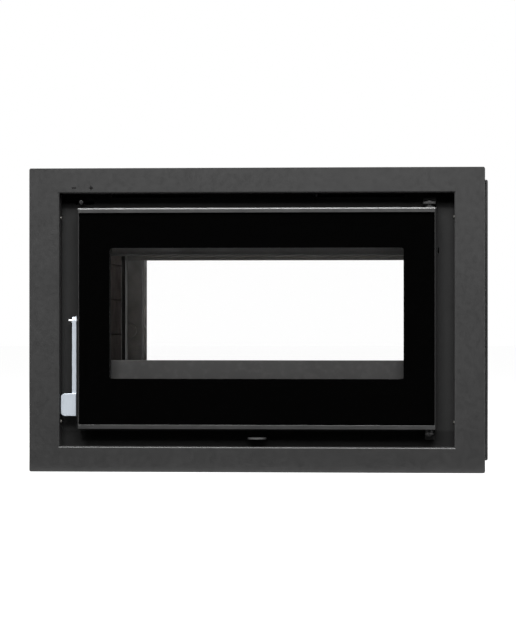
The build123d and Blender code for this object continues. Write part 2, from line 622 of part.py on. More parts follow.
with BuildPart() as brick_retainers:
    brick_end = BRICK_LENGTH / 2
    block((LINING_HALF, FIREBOX_HALF), (brick_end, brick_end + RETAINER_SHEET), (HEARTH_TOP, LINING_TOP))
    block(
        (FIREBOX_HALF - RETAINER_SHEET, FIREBOX_HALF),
        (brick_end, brick_end + RETAINER_FOOT),
        (HEARTH_TOP, LINING_TOP),
    )
    mirror(about=Plane.YZ)
    mirror(about=Plane.XZ)
keep(brick_retainers.part, "brick_retainers")

with BuildPart() as corner_air_ducts:
    block(duct_x, duct_y, (FLOOR_TOP, LINING_TOP))
    block(
        (LINING_HALF + DUCT_SHEET, FIREBOX_HALF),
        (duct_y[0] + DUCT_SHEET, duct_y[1] - DUCT_SHEET),
        (FLOOR_TOP, LINING_TOP),
        mode=Mode.SUBTRACT,
    )
    mirror(about=Plane.YZ)
    mirror(about=Plane.XZ)
keep(corner_air_ducts.part, "corner_air_ducts")

# ---- Hearth, grate and ash pan -----------------------------------------------------------------
grate_hole_half = GRATE_WIDTH / 2 + GRATE_GAP
grate_hole_y = GRATE_LENGTH / 2 + GRATE_GAP
hearth_z = (FLOOR_TOP, HEARTH_TOP)

with BuildPart() as hearth_slabs:
    # One slab at each side of the grate, notched around the corner ducts.
    block((grate_hole_half, FIREBOX_HALF), inner_y, hearth_z)
    block(duct_x, duct_y, hearth_z, mode=Mode.SUBTRACT)
    block(duct_x, (-duct_y[1], -duct_y[0]), hearth_z, mode=Mode.SUBTRACT)
    mirror(about=Plane.YZ)
hearth_parts = list(hearth_slabs.part.solids())
for end in (-1, 1):
    with BuildPart() as hearth_filler:
        filler_y = sorted((end * grate_hole_y, end * INNER_HALF))
        block((-grate_hole_half, grate_hole_half), filler_y, hearth_z)
    hearth_parts.append(hearth_filler.part.solid())
keep(Compound(children=hearth_parts), "hearth_slabs")

with BuildPart() as grate:
    with BuildSketch(Plane.XY.offset(HEARTH_TOP - GRATE_PLATE)):
        Rectangle(GRATE_WIDTH, GRATE_LENGTH)
        slot_count = int((GRATE_WIDTH - 2 * GRATE_RIM) / GRATE_SLOT_PITCH)
        with GridLocations(GRATE_SLOT_PITCH, 0, slot_count, 1):
            SlotOverall(GRATE_LENGTH - 2 * GRATE_RIM, GRATE_SLOT, rotation=90, mode=Mode.SUBTRACT)
    extrude(amount=GRATE_PLATE)
    with BuildSketch(Plane.XY.offset(FLOOR_TOP)):
        Rectangle(GRATE_WIDTH, GRATE_LENGTH)
        Rectangle(GRATE_WIDTH - 2 * GRATE_RIM, GRATE_LENGTH - 2 * GRATE_RIM, mode=Mode.SUBTRACT)
    extrude(amount=HEARTH_THICKNESS - GRATE_PLATE)
keep(grate.part, "grate")

with BuildPart() as ash_pan:
    pan_top = FLOOR_UNDERSIDE - PAN_TOP_GAP
    pan_x = (-PAN_HALF_WIDTH, PAN_HALF_WIDTH)
    pan_y = (-PAN_HALF_LENGTH, PAN_HALF_LENGTH)
    block(pan_x, pan_y, (CASING_FLOOR, pan_top))
    block(
        (pan_x[0] + PAN_SHEET, pan_x[1] - PAN_SHEET),
        (pan_y[0] + PAN_SHEET, pan_y[1] - PAN_SHEET),
        (CASING_FLOOR + PAN_SHEET, pan_top),
        mode=Mode.SUBTRACT,
    )
keep(ash_pan.part, "ash_pan")

# ---- Baffles -----------------------------------------------------------------------------------
with BuildPart() as lower_baffle:
    baffle_half = FIREBOX_HALF - BAFFLE_GAP
    baffle_top = LINING_TOP + BAFFLE_THICKNESS
    block((-baffle_half, baffle_half), (-BAFFLE_LENGTH / 2, BAFFLE_LENGTH / 2), (LINING_TOP, baffle_top))
keep(lower_baffle.part, "lower_baffle")

with BuildPart() as upper_baffle:
    plate_z = (baffle_top + DEFLECTOR_HEIGHT - DEFLECTOR_SHEET, baffle_top + DEFLECTOR_HEIGHT)
    deflector_half = DEFLECTOR_WIDTH / 2
    deflector_y = (-DEFLECTOR_LENGTH / 2, DEFLECTOR_LENGTH / 2)
    block((-deflector_half, deflector_half), deflector_y, plate_z)
    block((deflector_half - DEFLECTOR_SHEET, deflector_half), deflector_y, (baffle_top, plate_z[1]))
    mirror(about=Plane.YZ)
keep(upper_baffle.part, "upper_baffle")

# ---- Lintels and log guards --------------------------------------------------------------------
with BuildPart() as lintel:
    lintel_depth = PLATE_BACK + LINTEL_FROM_PLATE
    lintel_half = FIREBOX_HALF - LINTEL_END_GAP
    sheet_y = (y_at(lintel_depth), y_at(lintel_depth + LINTEL_SHEET))
    hem_y = (y_at(lintel_depth - LINTEL_SHEET), y_at(lintel_depth + LINTEL_SHEET))
    block((-lintel_half, lintel_half), sheet_y, (LINTEL_BOTTOM, ROOF_UNDERSIDE))
    block((-lintel_half, lintel_half), hem_y, (LINTEL_BOTTOM, LINTEL_BOTTOM + LINTEL_HEM))
    fillet(lintel.edges().filter_by(Axis.X).group_by(Axis.Z)[0], LINTEL_SHEET / 2)
keep_pair(lintel.part, "lintel")


def log_guard(height):
    """Folded plate on the hearth behind the front door, with a foot towards the fire."""
    guard_depth = PLATE_BACK + GUARD_FROM_PLATE
    guard_half = LINING_HALF - GUARD_END_GAP
    with BuildPart() as guard:
        block(
            (-guard_half, guard_half),
            (y_at(guard_depth), y_at(guard_depth + GUARD_SHEET)),
            (HEARTH_TOP, HEARTH_TOP + height),
        )
        block(
            (-guard_half, guard_half),
            (y_at(guard_depth), y_at(guard_depth + GUARD_SHEET + GUARD_FOOT)),
            (HEARTH_TOP, HEARTH_TOP + GUARD_SHEET),
        )
        fillet(guard.edges().filter_by(Axis.X).group_by(Axis.Z)[-1], GUARD_SHEET / 4)
    return guard.part


keep(log_guard(FRONT_GUARD_HEIGHT), "front_log_guard")
keep(mirror(log_guard(REAR_GUARD_HEIGHT), about=Plane.XZ), "rear_log_guard")

# ---- Flue collar and outside air spigot --------------------------------------------------------
with BuildPart() as flue_collar:
    with BuildSketch(Plane.XY.offset(ROOF_TOP)):
        Circle(FLUE_BORE + FLUE_WALL)
        Circle(FLUE_BORE, mode=Mode.SUBTRACT)
    extrude(amount=FRAME_HEIGHT - ROOF_TOP)
    with BuildSketch(Plane.XY.offset(FRAME_HEIGHT - FLUE_SOCKET - FLUE_STOP_HEIGHT)):
        Circle(FLUE_BORE)
        Circle(FLUE_BORE - FLUE_STOP_WIDTH, mode=Mode.SUBTRACT)
    extrude(amount=FLUE_STOP_HEIGHT)
keep(flue_collar.part, "flue_collar")

with BuildPart() as outside_air_collar:
    with BuildSketch(Plane.XY.offset(INLET_BOTTOM)):
        with Locations((0, INLET_Y)):
            Circle(INLET_OUTER)
    extrude(amount=CASING_FLOOR + INLET_WALL - INLET_BOTTOM)
    with BuildSketch(Plane.XY.offset(CASING_FLOOR)):
        with Locations((0, INLET_Y)):
            Circle(INLET_OUTER + INLET_FLANGE)
    extrude(amount=INLET_WALL)
    with BuildSketch(Plane.XY.offset(INLET_BOTTOM)):
        with Locations((0, INLET_Y)):
            Circle(INLET_BORE)
    extrude(amount=CASING_FLOOR + INLET_WALL - INLET_BOTTOM, mode=Mode.SUBTRACT)
keep(outside_air_collar.part, "outside_air_collar")

# ---- Primary air: box over the spigot and the pull slide on its lid ----------------------------
box_y = (INLET_Y - AIR_BOX_HALF, INLET_Y + AIR_BOX_HALF)
lid_top = PULL_BOTTOM - SLIDE_GAP
port_end = SHUTTER_START + SHUTTER_LENGTH - PORT_OVERLAP
rail_inside = SHUTTER_WIDTH / 2 + SLIDE_GAP

with BuildPart() as primary_air_box:
    block((-AIR_BOX_HALF, AIR_BOX_HALF), box_y, (CASING_FLOOR, lid_top))
    block(
        (AIR_BOX_SHEET - AIR_BOX_HALF, AIR_BOX_HALF - AIR_BOX_SHEET),
        (box_y[0] + AIR_BOX_SHEET, box_y[1] - AIR_BOX_SHEET),
        (CASING_FLOOR, lid_top - AIR_BOX_SHEET),
        mode=Mode.SUBTRACT,
    )
    block((rail_inside, rail_inside + SHUTTER_RAIL), box_y, (lid_top, PULL_TOP))
    block((-rail_inside - SHUTTER_RAIL, -rail_inside), box_y, (lid_top, PULL_TOP))
    block(
        (-PORT_WIDTH / 2, PORT_WIDTH / 2),
        (y_at(port_end - PORT_LENGTH), y_at(port_end)),
        (lid_top - AIR_BOX_SHEET, lid_top),
        mode=Mode.SUBTRACT,
    )
keep(primary_air_box.part, "primary_air_box")

with BuildPart() as primary_air_slide:
    with BuildSketch(Plane.XY.offset(PULL_BOTTOM)):
        pull_radius = PULL_WIDTH / 2
        with Locations((0, y_at(PULL_FRONT + pull_radius))):
            Circle(pull_radius)
        with Locations((0, y_at(PULL_BACK))):
            Rectangle(PULL_WIDTH, PULL_BACK, align=(Align.CENTER, Align.MIN), mode=Mode.SUBTRACT)
            Rectangle(PULL_WIDTH, PULL_BACK - PULL_FRONT - pull_radius, align=(Align.CENTER, Align.MAX))
            Rectangle(PULL_BAR_WIDTH, SHUTTER_START - PULL_BACK, align=(Align.CENTER, Align.MIN))
        with Locations((0, y_at(SHUTTER_START))):
            Rectangle(SHUTTER_WIDTH, SHUTTER_LENGTH, align=(Align.CENTER, Align.MIN))
    extrude(amount=PULL_THICKNESS)
    fillet(primary_air_slide.edges().filter_by(GeomType.CIRCLE), PULL_THICKNESS / 4)
keep(primary_air_slide.part, "primary_air_slide")

# ---- Air wash: ducts on the roof and the slider behind the knob --------------------------------
wash_back = PLATE_BACK + WASH_DUCT_DEPTH
duct_left = CASING_SHEET + WASH_DUCT_LEFT_GAP - CASING_HALF
duct_right = FIREBOX_HALF - WASH_DUCT_RIGHT_INSET
duct_middle = ROOF_TOP + WASH_DUCT_HEIGHT / 2
slider_height = WASH_DUCT_HEIGHT - 2 * WASH_DUCT_SHEET - 2 * SLIDER_EDGE_GAP
port_xs = [KNOB_X + KNOB_TO_PLUS + i * WASH_PORT_PITCH / 2 for i in (-1, 1)]

with BuildPart() as air_wash_duct:
    block((duct_left, duct_right), (y_at(PLATE_BACK), y_at(wash_back)), (ROOF_TOP, WASH_DUCT_TOP))
    block(
        (duct_left + WASH_DUCT_SHEET, duct_right - WASH_DUCT_SHEET),
        (y_at(PLATE_BACK), y_at(wash_back - WASH_DUCT_SHEET)),
        (ROOF_TOP + WASH_DUCT_SHEET, WASH_DUCT_TOP - WASH_DUCT_SHEET),
        mode=Mode.SUBTRACT,
    )
    with BuildSketch(Plane.XY.offset(ROOF_TOP)):
        with Locations((0, -wash_slot_y)):
            with GridLocations(WASH_SLOT_PITCH, 0, WASH_SLOT_COUNT, 1):
                SlotOverall(WASH_SLOT_LENGTH, WASH_SLOT_WIDTH)
    extrude(amount=WASH_DUCT_SHEET, mode=Mode.SUBTRACT)
    with BuildSketch(front(wash_back)):
        for x in port_xs:
            with Locations((x, duct_middle)):
                Rectangle(WASH_PORT_WIDTH, WASH_PORT_HEIGHT)
    extrude(amount=WASH_DUCT_SHEET, mode=Mode.SUBTRACT)
keep_pair(air_wash_duct.part, "air_wash_duct")

slider_back = wash_back - WASH_DUCT_SHEET - SLIDE_GAP

with BuildPart() as air_wash_slider:
    with BuildSketch(front(slider_back)):
        with Locations((KNOB_X, duct_middle)):
            Rectangle(SLIDER_LENGTH, slider_height)
        for x in port_xs:
            with Locations((x - KNOB_TO_PLUS, duct_middle)):
                Rectangle(WASH_PORT_WIDTH, WASH_PORT_HEIGHT, mode=Mode.SUBTRACT)
    extrude(amount=SLIDER_SHEET)
    with BuildSketch(front(slider_back - SLIDER_SHEET)):
        with Locations((KNOB_X, KNOB_Z)):
            Circle(ROD_RADIUS)
    extrude(amount=slider_back - SLIDER_SHEET - KNOB_FRONT - KNOB_LENGTH)
keep(air_wash_slider.part, "air_wash_slider")

with BuildPart() as air_wash_knob:
    with BuildSketch(front(KNOB_FRONT + KNOB_LENGTH)):
        with Locations((KNOB_X, KNOB_Z)):
            Circle(KNOB_RADIUS)
    extrude(amount=KNOB_LENGTH)
    chamfer(air_wash_knob.edges().group_by(Axis.Y)[0], KNOB_EDGE)
keep(air_wash_knob.part, "air_wash_knob")

# ---- Hinge brackets, pins and bushes -----------------------------------------------------------
top_pin_end = DOOR_TOP - BUSH_LENGTH + PIN_SHORT
bottom_pin_end = DOOR_BOTTOM + BUSH_LENGTH - PIN_SHORT
bottom_lug_lower = BOTTOM_LUG_TOP - BOTTOM_LUG_THICKNESS
top_lug_upper = TOP_LUG_BOTTOM + TOP_LUG_THICKNESS


def hinge_disc(radius, lower, upper, mode=Mode.ADD):
    """Disc or hole of this radius on the hinge axis, between two heights."""
    with BuildSketch(Plane.XY.offset(lower)) as disc:
        with Locations((HINGE_X, y_at(HINGE_DEPTH))):
            Circle(radius)
    extrude(disc.sketch, amount=upper - lower, mode=mode)


def hinge_lug(width, lower, upper, base_span):
    """Flat lug with rounded front corners and the upright base that joins it to the face plate."""
    with BuildSketch(Plane.XY.offset(lower)) as outline:
        with Locations((HINGE_X, y_at(RECESS))):
            Rectangle(width, RECESS - LUG_FRONT, align=(Align.CENTER, Align.MAX))
        fillet(outline.vertices().group_by(Axis.Y)[0], LUG_ROUND)
    extrude(outline.sketch, amount=upper - lower)
    base_x = (HINGE_X - width / 2, HINGE_X + width / 2)
    block(base_x, (y_at(RECESS - LUG_BASE_SHEET), y_at(RECESS)), base_span)
    hinge_disc(PIN_RADIUS, lower, upper, mode=Mode.SUBTRACT)


with BuildPart() as hinge_brackets:
    top_base = (TOP_LUG_BOTTOM, TOP_LUG_BOTTOM + LUG_BASE_HEIGHT)
    bottom_base = (BOTTOM_LUG_TOP - LUG_BASE_HEIGHT, BOTTOM_LUG_TOP)
    hinge_lug(TOP_LUG_WIDTH, TOP_LUG_BOTTOM, top_lug_upper, top_base)
    hinge_lug(BOTTOM_LUG_WIDTH, bottom_lug_lower, BOTTOM_LUG_TOP, bottom_base)
    mirror(about=Plane.XZ)
keep(hinge_brackets.part, "hinge_brackets")

with BuildPart() as hinge_pins:
    hinge_disc(PIN_RADIUS, top_pin_end, top_lug_upper)
    hinge_disc(PIN_HEAD_RADIUS, top_lug_upper, top_lug_upper + PIN_HEAD)
    hinge_disc(PIN_RADIUS, bottom_lug_lower, bottom_pin_end)
    hinge_disc(PIN_HEAD_RADIUS, bottom_lug_lower - PIN_HEAD, bottom_lug_lower)
    mirror(about=Plane.XZ)
keep(hinge_pins.part, "hinge_pins")

with BuildPart() as hinge_bushes:
    hinge_disc(BUSH_RADIUS, DOOR_TOP - BUSH_LENGTH, DOOR_TOP)
    hinge_disc(BUSH_FLANGE_RADIUS, DOOR_TOP, DOOR_TOP + BUSH_FLANGE)
    hinge_disc(BUSH_RADIUS, DOOR_BOTTOM, DOOR_BOTTOM + BUSH_LENGTH)
    hinge_disc(BUSH_FLANGE_RADIUS, BOTTOM_LUG_TOP + THRUST_GAP, DOOR_BOTTOM)
    hinge_disc(PIN_RADIUS + PIN_CLEARANCE, BOTTOM_LUG_TOP, DOOR_TOP + BUSH_FLANGE, mode=Mode.SUBTRACT)
keep_pair(hinge_bushes.part, "hinge_bushes")

# ---- Doors: surround, glass, seals and frame ---------------------------------------------------
shaft_yz = (y_at(SHAFT_DEPTH), SHAFT_Z)

with BuildPart() as door_surround:
    with BuildSketch(front(SURROUND_SHEET)):
        upright(2 * DOOR_HALF, DOOR_BOTTOM, DOOR_TOP)
        upright(
            2 * (DOOR_HALF - LIP_SIDE),
            DOOR_BOTTOM + LIP_BOTTOM,
            DOOR_TOP - LIP_TOP,
            mode=Mode.SUBTRACT,
        )
    extrude(amount=SURROUND_SHEET)
    with BuildSketch(front(SURROUND_DEPTH)):
        ring_around(2 * WALL_HALF, WALL_BOTTOM, WALL_TOP, SURROUND_SHEET)
    extrude(amount=SURROUND_DEPTH - SURROUND_SHEET)
    face_edges = door_surround.edges().group_by(Axis.Y)[0]
    chamfer(face_edges.filter_by(Axis.X).sort_by(Axis.Z)[-1], LIP_BEVEL)
    hinge_disc(BUSH_RADIUS, DOOR_BOTTOM, WALL_BOTTOM, mode=Mode.SUBTRACT)
    hinge_disc(BUSH_RADIUS, WALL_TOP, DOOR_TOP, mode=Mode.SUBTRACT)
    with BuildSketch(Plane.YZ.offset(-DOOR_HALF)):
        with Locations(shaft_yz):
            Circle(SHAFT_RADIUS + SHAFT_HOLE_GAP)
    extrude(amount=SURROUND_SHEET, mode=Mode.SUBTRACT)
keep_pair(door_surround.part, "door_surround")

glass_width = 2 * (WALL_HALF - GLASS_GAP)
glass_bottom = WALL_BOTTOM + GLASS_GAP
glass_top = WALL_TOP - GLASS_GAP

with BuildPart() as door_glass:
    with BuildSketch(front(GLASS_BACK)):
        upright(glass_width, glass_bottom, glass_top)
    extrude(amount=GLASS_THICKNESS)
keep_pair(door_glass.part, "door_glass")

with BuildPart() as glass_seal:
    with BuildSketch(front(SEAL_BACK)):
        upright(glass_width, glass_bottom, glass_top)
        upright(
            glass_width - 2 * SEAL_WIDTH,
            glass_bottom + SEAL_WIDTH,
            glass_top - SEAL_WIDTH,
            mode=Mode.SUBTRACT,
        )
    extrude(amount=SEAL_THICKNESS)
keep_pair(glass_seal.part, "glass_seal")

carrier_inset = CHANNEL_INNER_WALL - ROPE_INSET
carrier_opening = (
    FIRE_OPENING_WIDTH - 2 * carrier_inset,
    FIRE_OPENING_BOTTOM + carrier_inset,
    FIRE_OPENING_TOP - carrier_inset,
)
channel_wall = CHANNEL_INNER_WALL + ROPE_WIDTH + CHANNEL_OUTER_WALL
rope_inner = (ROPE_INNER_WIDTH, ROPE_INNER_BOTTOM, ROPE_INNER_TOP)

with BuildPart() as door_frame:
    # Sheet that backs the glass seal, and the channel for the rope around the fire opening.
    with BuildSketch(front(CARRIER_BACK)):
        upright(2 * WALL_HALF, WALL_BOTTOM, WALL_TOP)
        upright(*carrier_opening, mode=Mode.SUBTRACT)
    extrude(amount=CARRIER_SHEET)
    with BuildSketch(front(CHANNEL_BACK)):
        ring_around(*carrier_opening, channel_wall)
    extrude(amount=CHANNEL_BACK - CARRIER_BACK)
    with BuildSketch(front(CHANNEL_BACK)):
        ring_around(*rope_inner, ROPE_WIDTH)
    extrude(amount=ROPE_GROOVE, mode=Mode.SUBTRACT)
    # Welded blocks that hold the hinge bushes and the latch shaft.
    block_x = (WALL_HALF - BLOCK_WIDTH, WALL_HALF)
    block_y = (y_at(CARRIER_BACK), y_at(BLOCK_BACK))
    block(block_x, block_y, (WALL_BOTTOM, WALL_BOTTOM + BLOCK_HEIGHT))
    block(block_x, block_y, (WALL_TOP - BLOCK_HEIGHT, WALL_TOP))
    hinge_disc(BUSH_RADIUS, WALL_BOTTOM, DOOR_BOTTOM + BUSH_LENGTH, mode=Mode.SUBTRACT)
    hinge_disc(BUSH_RADIUS, DOOR_TOP - BUSH_LENGTH, WALL_TOP, mode=Mode.SUBTRACT)
    latch_block_z = (SHAFT_Z - LATCH_BLOCK_HEIGHT / 2, SHAFT_Z + LATCH_BLOCK_HEIGHT / 2)
    latch_block_x = (-WALL_HALF, LATCH_BLOCK_WIDTH - WALL_HALF)
    block(latch_block_x, (y_at(CARRIER_BACK), y_at(LATCH_BLOCK_BACK)), latch_block_z)
    with BuildSketch(Plane.YZ.offset(-WALL_HALF)):
        with Locations(shaft_yz):
            Circle(SHAFT_RADIUS + SHAFT_CLEARANCE)
    extrude(amount=LATCH_BLOCK_WIDTH, mode=Mode.SUBTRACT)
keep_pair(door_frame.part, "door_frame")

with BuildPart() as rope_seal:
    with BuildSketch(front(RECESS - ROPE_GAP)):
        ring_around(*rope_inner, ROPE_WIDTH)
    extrude(amount=RECESS - ROPE_GAP - ROPE_FRONT)
    fillet(rope_seal.edges().group_by(Axis.Y)[-1], ROPE_ROUND)
keep_pair(rope_seal.part, "rope_seal")

# ---- Handles: lever with its grip, shaft and latch hook ----------------------------------------
with BuildPart() as handle_lever:
    with BuildSketch(Plane.YZ.offset(LEVER_LEFT)):
        with Locations(shaft_yz):
            Circle(LEVER_EYE)
        with Locations((y_at(LEVER_FRONT), LEVER_BOTTOM)):
            Rectangle(LEVER_WIDTH, SHAFT_Z - LEVER_BOTTOM, align=(Align.MIN, Align.MIN))
        with Locations(shaft_yz):
            Circle(SHAFT_RADIUS, mode=Mode.SUBTRACT)
    extrude(amount=LEVER_THICKNESS)
    with BuildSketch(front(LEVER_FRONT)) as grip_outline:
        with Locations((LEVER_RIGHT, LEVER_BOTTOM)):
            Rectangle(GRIP_WIDTH, GRIP_HEIGHT, align=(Align.MAX, Align.MIN))
        fillet(grip_outline.vertices().group_by(Axis.X)[0], GRIP_CORNER)
    extrude(amount=GRIP_THICKNESS)
    chamfer(handle_lever.edges().group_by(Axis.Y)[0], GRIP_EDGE)
keep_pair(handle_lever.part, "handle_lever")

shaft_left = LEVER_LEFT - SHAFT_PROUD
shaft_right = -LATCH_X + HOOK_THICKNESS / 2 + SHAFT_PAST_HOOK

with BuildPart() as latch_shaft:
    with BuildSketch(Plane.YZ.offset(shaft_left)):
        with Locations(shaft_yz):
            Circle(SHAFT_RADIUS)
    extrude(amount=shaft_right - shaft_left)
    chamfer(latch_shaft.edges().group_by(Axis.X)[0], SHAFT_EDGE)
keep_pair(latch_shaft.part, "latch_shaft")


def ray(angle, length):
    """Point at this angle and distance from the shaft, in the plane of the hook."""
    return (length * cos(radians(angle)), length * sin(radians(angle)))


hook_side = (-LATCH_X - HOOK_THICKNESS / 2, *shaft_yz)

with BuildPart() as latch_hook:
    # A finger curved about the shaft, so that it leaves its hole along its own length.
    with BuildSketch(Plane(origin=hook_side, x_dir=(0, 1, 0), z_dir=(1, 0, 0))):
        Circle(HOOK_OUTER)
        Circle(HOOK_INNER, mode=Mode.SUBTRACT)
        tip = ray(HOOK_TIP_ANGLE, 2 * HOOK_OUTER)
        heel = ray(HOOK_HEEL_ANGLE, 2 * HOOK_OUTER)
        with BuildLine():
            Polyline((0, 0), tip, heel, close=True)
        make_face(mode=Mode.INTERSECT)
        with Locations(Location((0, 0), HOOK_ARM_ANGLE)):
            Rectangle(HOOK_INNER + HOOK_ARM_LAP, HOOK_ARM_WIDTH, align=(Align.MIN, Align.CENTER))
        Circle(HOOK_HUB)
        Circle(SHAFT_RADIUS, mode=Mode.SUBTRACT)
    extrude(amount=HOOK_THICKNESS)
keep_pair(latch_hook.part, "latch_hook")
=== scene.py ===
"""Looks of a double-sided fireplace insert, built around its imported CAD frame.

X runs to the right as seen from the front, Y from the front to the rear and Z up, with the
origin on the floor under the middle of the insert. Sizes in the classes are millimetres, and
meshes and the studio are in metres. A depth is a distance behind the front face, or before the
rear one.
"""

import logging
from dataclasses import dataclass, field
from enum import Enum
from math import pi, radians

import bmesh
import bpy
import numpy as np
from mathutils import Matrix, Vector


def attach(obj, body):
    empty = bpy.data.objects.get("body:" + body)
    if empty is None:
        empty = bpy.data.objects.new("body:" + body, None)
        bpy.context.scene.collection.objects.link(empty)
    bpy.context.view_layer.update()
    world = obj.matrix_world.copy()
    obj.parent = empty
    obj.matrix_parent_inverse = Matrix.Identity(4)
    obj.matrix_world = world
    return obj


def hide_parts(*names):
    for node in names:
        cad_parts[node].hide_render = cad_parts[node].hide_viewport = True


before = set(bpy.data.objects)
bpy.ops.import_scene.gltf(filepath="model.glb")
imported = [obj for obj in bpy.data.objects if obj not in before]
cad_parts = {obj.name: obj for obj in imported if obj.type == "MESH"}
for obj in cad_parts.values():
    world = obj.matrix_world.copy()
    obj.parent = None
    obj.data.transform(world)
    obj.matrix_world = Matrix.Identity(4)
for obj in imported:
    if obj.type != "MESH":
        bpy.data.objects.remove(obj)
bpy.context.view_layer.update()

Socket = bpy.types.NodeSocket
Colour = tuple[float, float, float]
Point = tuple[float, float, float]
Span = tuple[float, float]
Value = Socket | Colour | Point | float

MM = 0.001
HALF_DEPTH = 300.0
MERGED = 1e-6  # metres between points that are one
NO_LENGTH = 1e-7  # metres of an edge that is none
FLAT_ANGLE = radians(0.5)  # the most that one plane's triangles bend
SHARP_ANGLE = radians(35.0)  # the least that a rounded edge bends
NOISE_SPAN = (0.3, 0.7)  # most values of a noise lie in here
WHOLE = (0.0, 1.0)
WHITE = (1.0, 1.0, 1.0)
SEEING_RAYS = ("Is Camera Ray", "Is Glossy Ray", "Is Transmission Ray")
LOG = logging.getLogger("fireplace_insert")


class Body(Enum):
    """Bodies of the CAD frame that pieces ride on."""

    STOVE = "stove_body"
    FRONT_DOOR = "front_door"
    FRONT_HANDLE = "front_handle"
    REAR_DOOR = "rear_door"
    REAR_HANDLE = "rear_handle"
    AIR_WASH = "air_wash_control"
    PRIMARY_AIR = "primary_air_control"


class Slot(Enum):
    """Material slots of the record."""

    FRAME_PAINT = "frame_paint"
    BLACK_STEEL = "black_steel"
    CASING_ZINC = "casing_zinc"
    FLUE_STEEL = "flue_steel"
    ZINC_FASTENER = "zinc_fastener"
    HINGE_STEEL = "hinge_steel"
    STAINLESS = "stainless"
    KNOB_BLACK = "knob_black"
    GLASS = "ceramic_glass"
    SEAL_FIBRE = "seal_fibre"
    FIREBRICK = "firebrick"
    VERMICULITE = "vermiculite"
    GRATE_IRON = "grate_iron"


class Side(Enum):
    """The two sides that carry a door; the value is the sign of their Y."""

    FRONT = -1
    REAR = 1

    @property
    def word(self) -> str:
        """Prefix of the side's node names."""
        return self.name.lower()

    @property
    def door(self) -> Body:
        """Body of the side's door."""
        return Body[f"{self.name}_DOOR"]

    @property
    def handle(self) -> Body:
        """Body of the side's handle."""
        return Body[f"{self.name}_HANDLE"]

    def y(self, depth: float) -> float:
        """Y in millimetres of a point this far behind the side's own face."""
        return self.value * (HALF_DEPTH - depth)


# ---- Node trees --------------------------------------------------------------------------------


@dataclass(frozen=True)
class Pattern:
    """Noise: the size of its spots in millimetres, and its number of finer layers."""

    size: float
    detail: float = 3.0


class Nodes:
    """Node tree of a material or of the world."""

    def __init__(self, owner: bpy.types.Material | bpy.types.World) -> None:
        """Start an empty tree.

        Args:
            owner: The material or the world.
        """
        owner.use_nodes = True
        self.owner = owner
        self.tree = owner.node_tree
        self.tree.nodes.clear()

    def put(self, target: Socket, value: Value) -> None:
        """Set an input to a constant, or link an output to it.

        Args:
            target: The input.
            value: A number, a colour, a vector or an output.
        """
        if isinstance(value, Socket):
            self.tree.links.new(value, target)
        else:
            target.default_value = (*value, 1.0) if target.type == "RGBA" else value

    def add(
        self, kind: str, inputs: dict[str | int, Value] | None = None, **settings: str
    ) -> bpy.types.Node:
        """Add a node.

        Args:
            kind: Type of the node, without the words that all types start with.
            inputs: What its inputs get, by their name or place.
            **settings: Properties of the node.

        Returns:
            The new node.
        """
        node = self.tree.nodes.new(f"ShaderNode{kind}")
        for key, value in settings.items():
            setattr(node, key, value)
        for key, value in (inputs or {}).items():
            self.put(node.inputs[key], value)
        return node

    def math(self, operation: str, *values: Value) -> Socket:
        """Result of a Math node on these values."""
        return self.add("Math", dict(enumerate(values)), operation=operation).outputs["Value"]

    def between(
        self, factor: Socket, low: float, high: float, span: Span = NOISE_SPAN, **settings: str
    ) -> Socket:
        """Spread a span of a factor over a range of values.

        Args:
            factor: Value to spread.
            low: Result where the span starts, and before.
            high: Result where the span ends, and beyond.
            span: Start and end of the span.
            **settings: Properties of the node.

        Returns:
            The value.
        """
        ends = {"From Min": span[0], "From Max": span[1], "To Min": low, "To Max": high}
        return self.add("MapRange", {"Value": factor, **ends}, **settings).outputs["Result"]

    def either(self, factor: Socket, first: bpy.types.Node, second: bpy.types.Node) -> Socket:
        """Mix of two shaders, where a factor of 0 gives the first and 1 the second."""
        inputs = {0: factor, 1: first.outputs[0], 2: second.outputs[0]}
        return self.add("MixShader", inputs).outputs[0]

    def seen_by(self, *rays: str) -> Socket:
        """Tell rays of some kinds from the others.

        Args:
            *rays: Outputs of the Light Path node.

        Returns:
            1 for a ray of one of these kinds, and 0 for others.
        """
        path = self.add("LightPath")
        total = path.outputs[rays[0]]
        for kind in rays[1:]:
            total = self.math("MAXIMUM", total, path.outputs[kind])
        return total


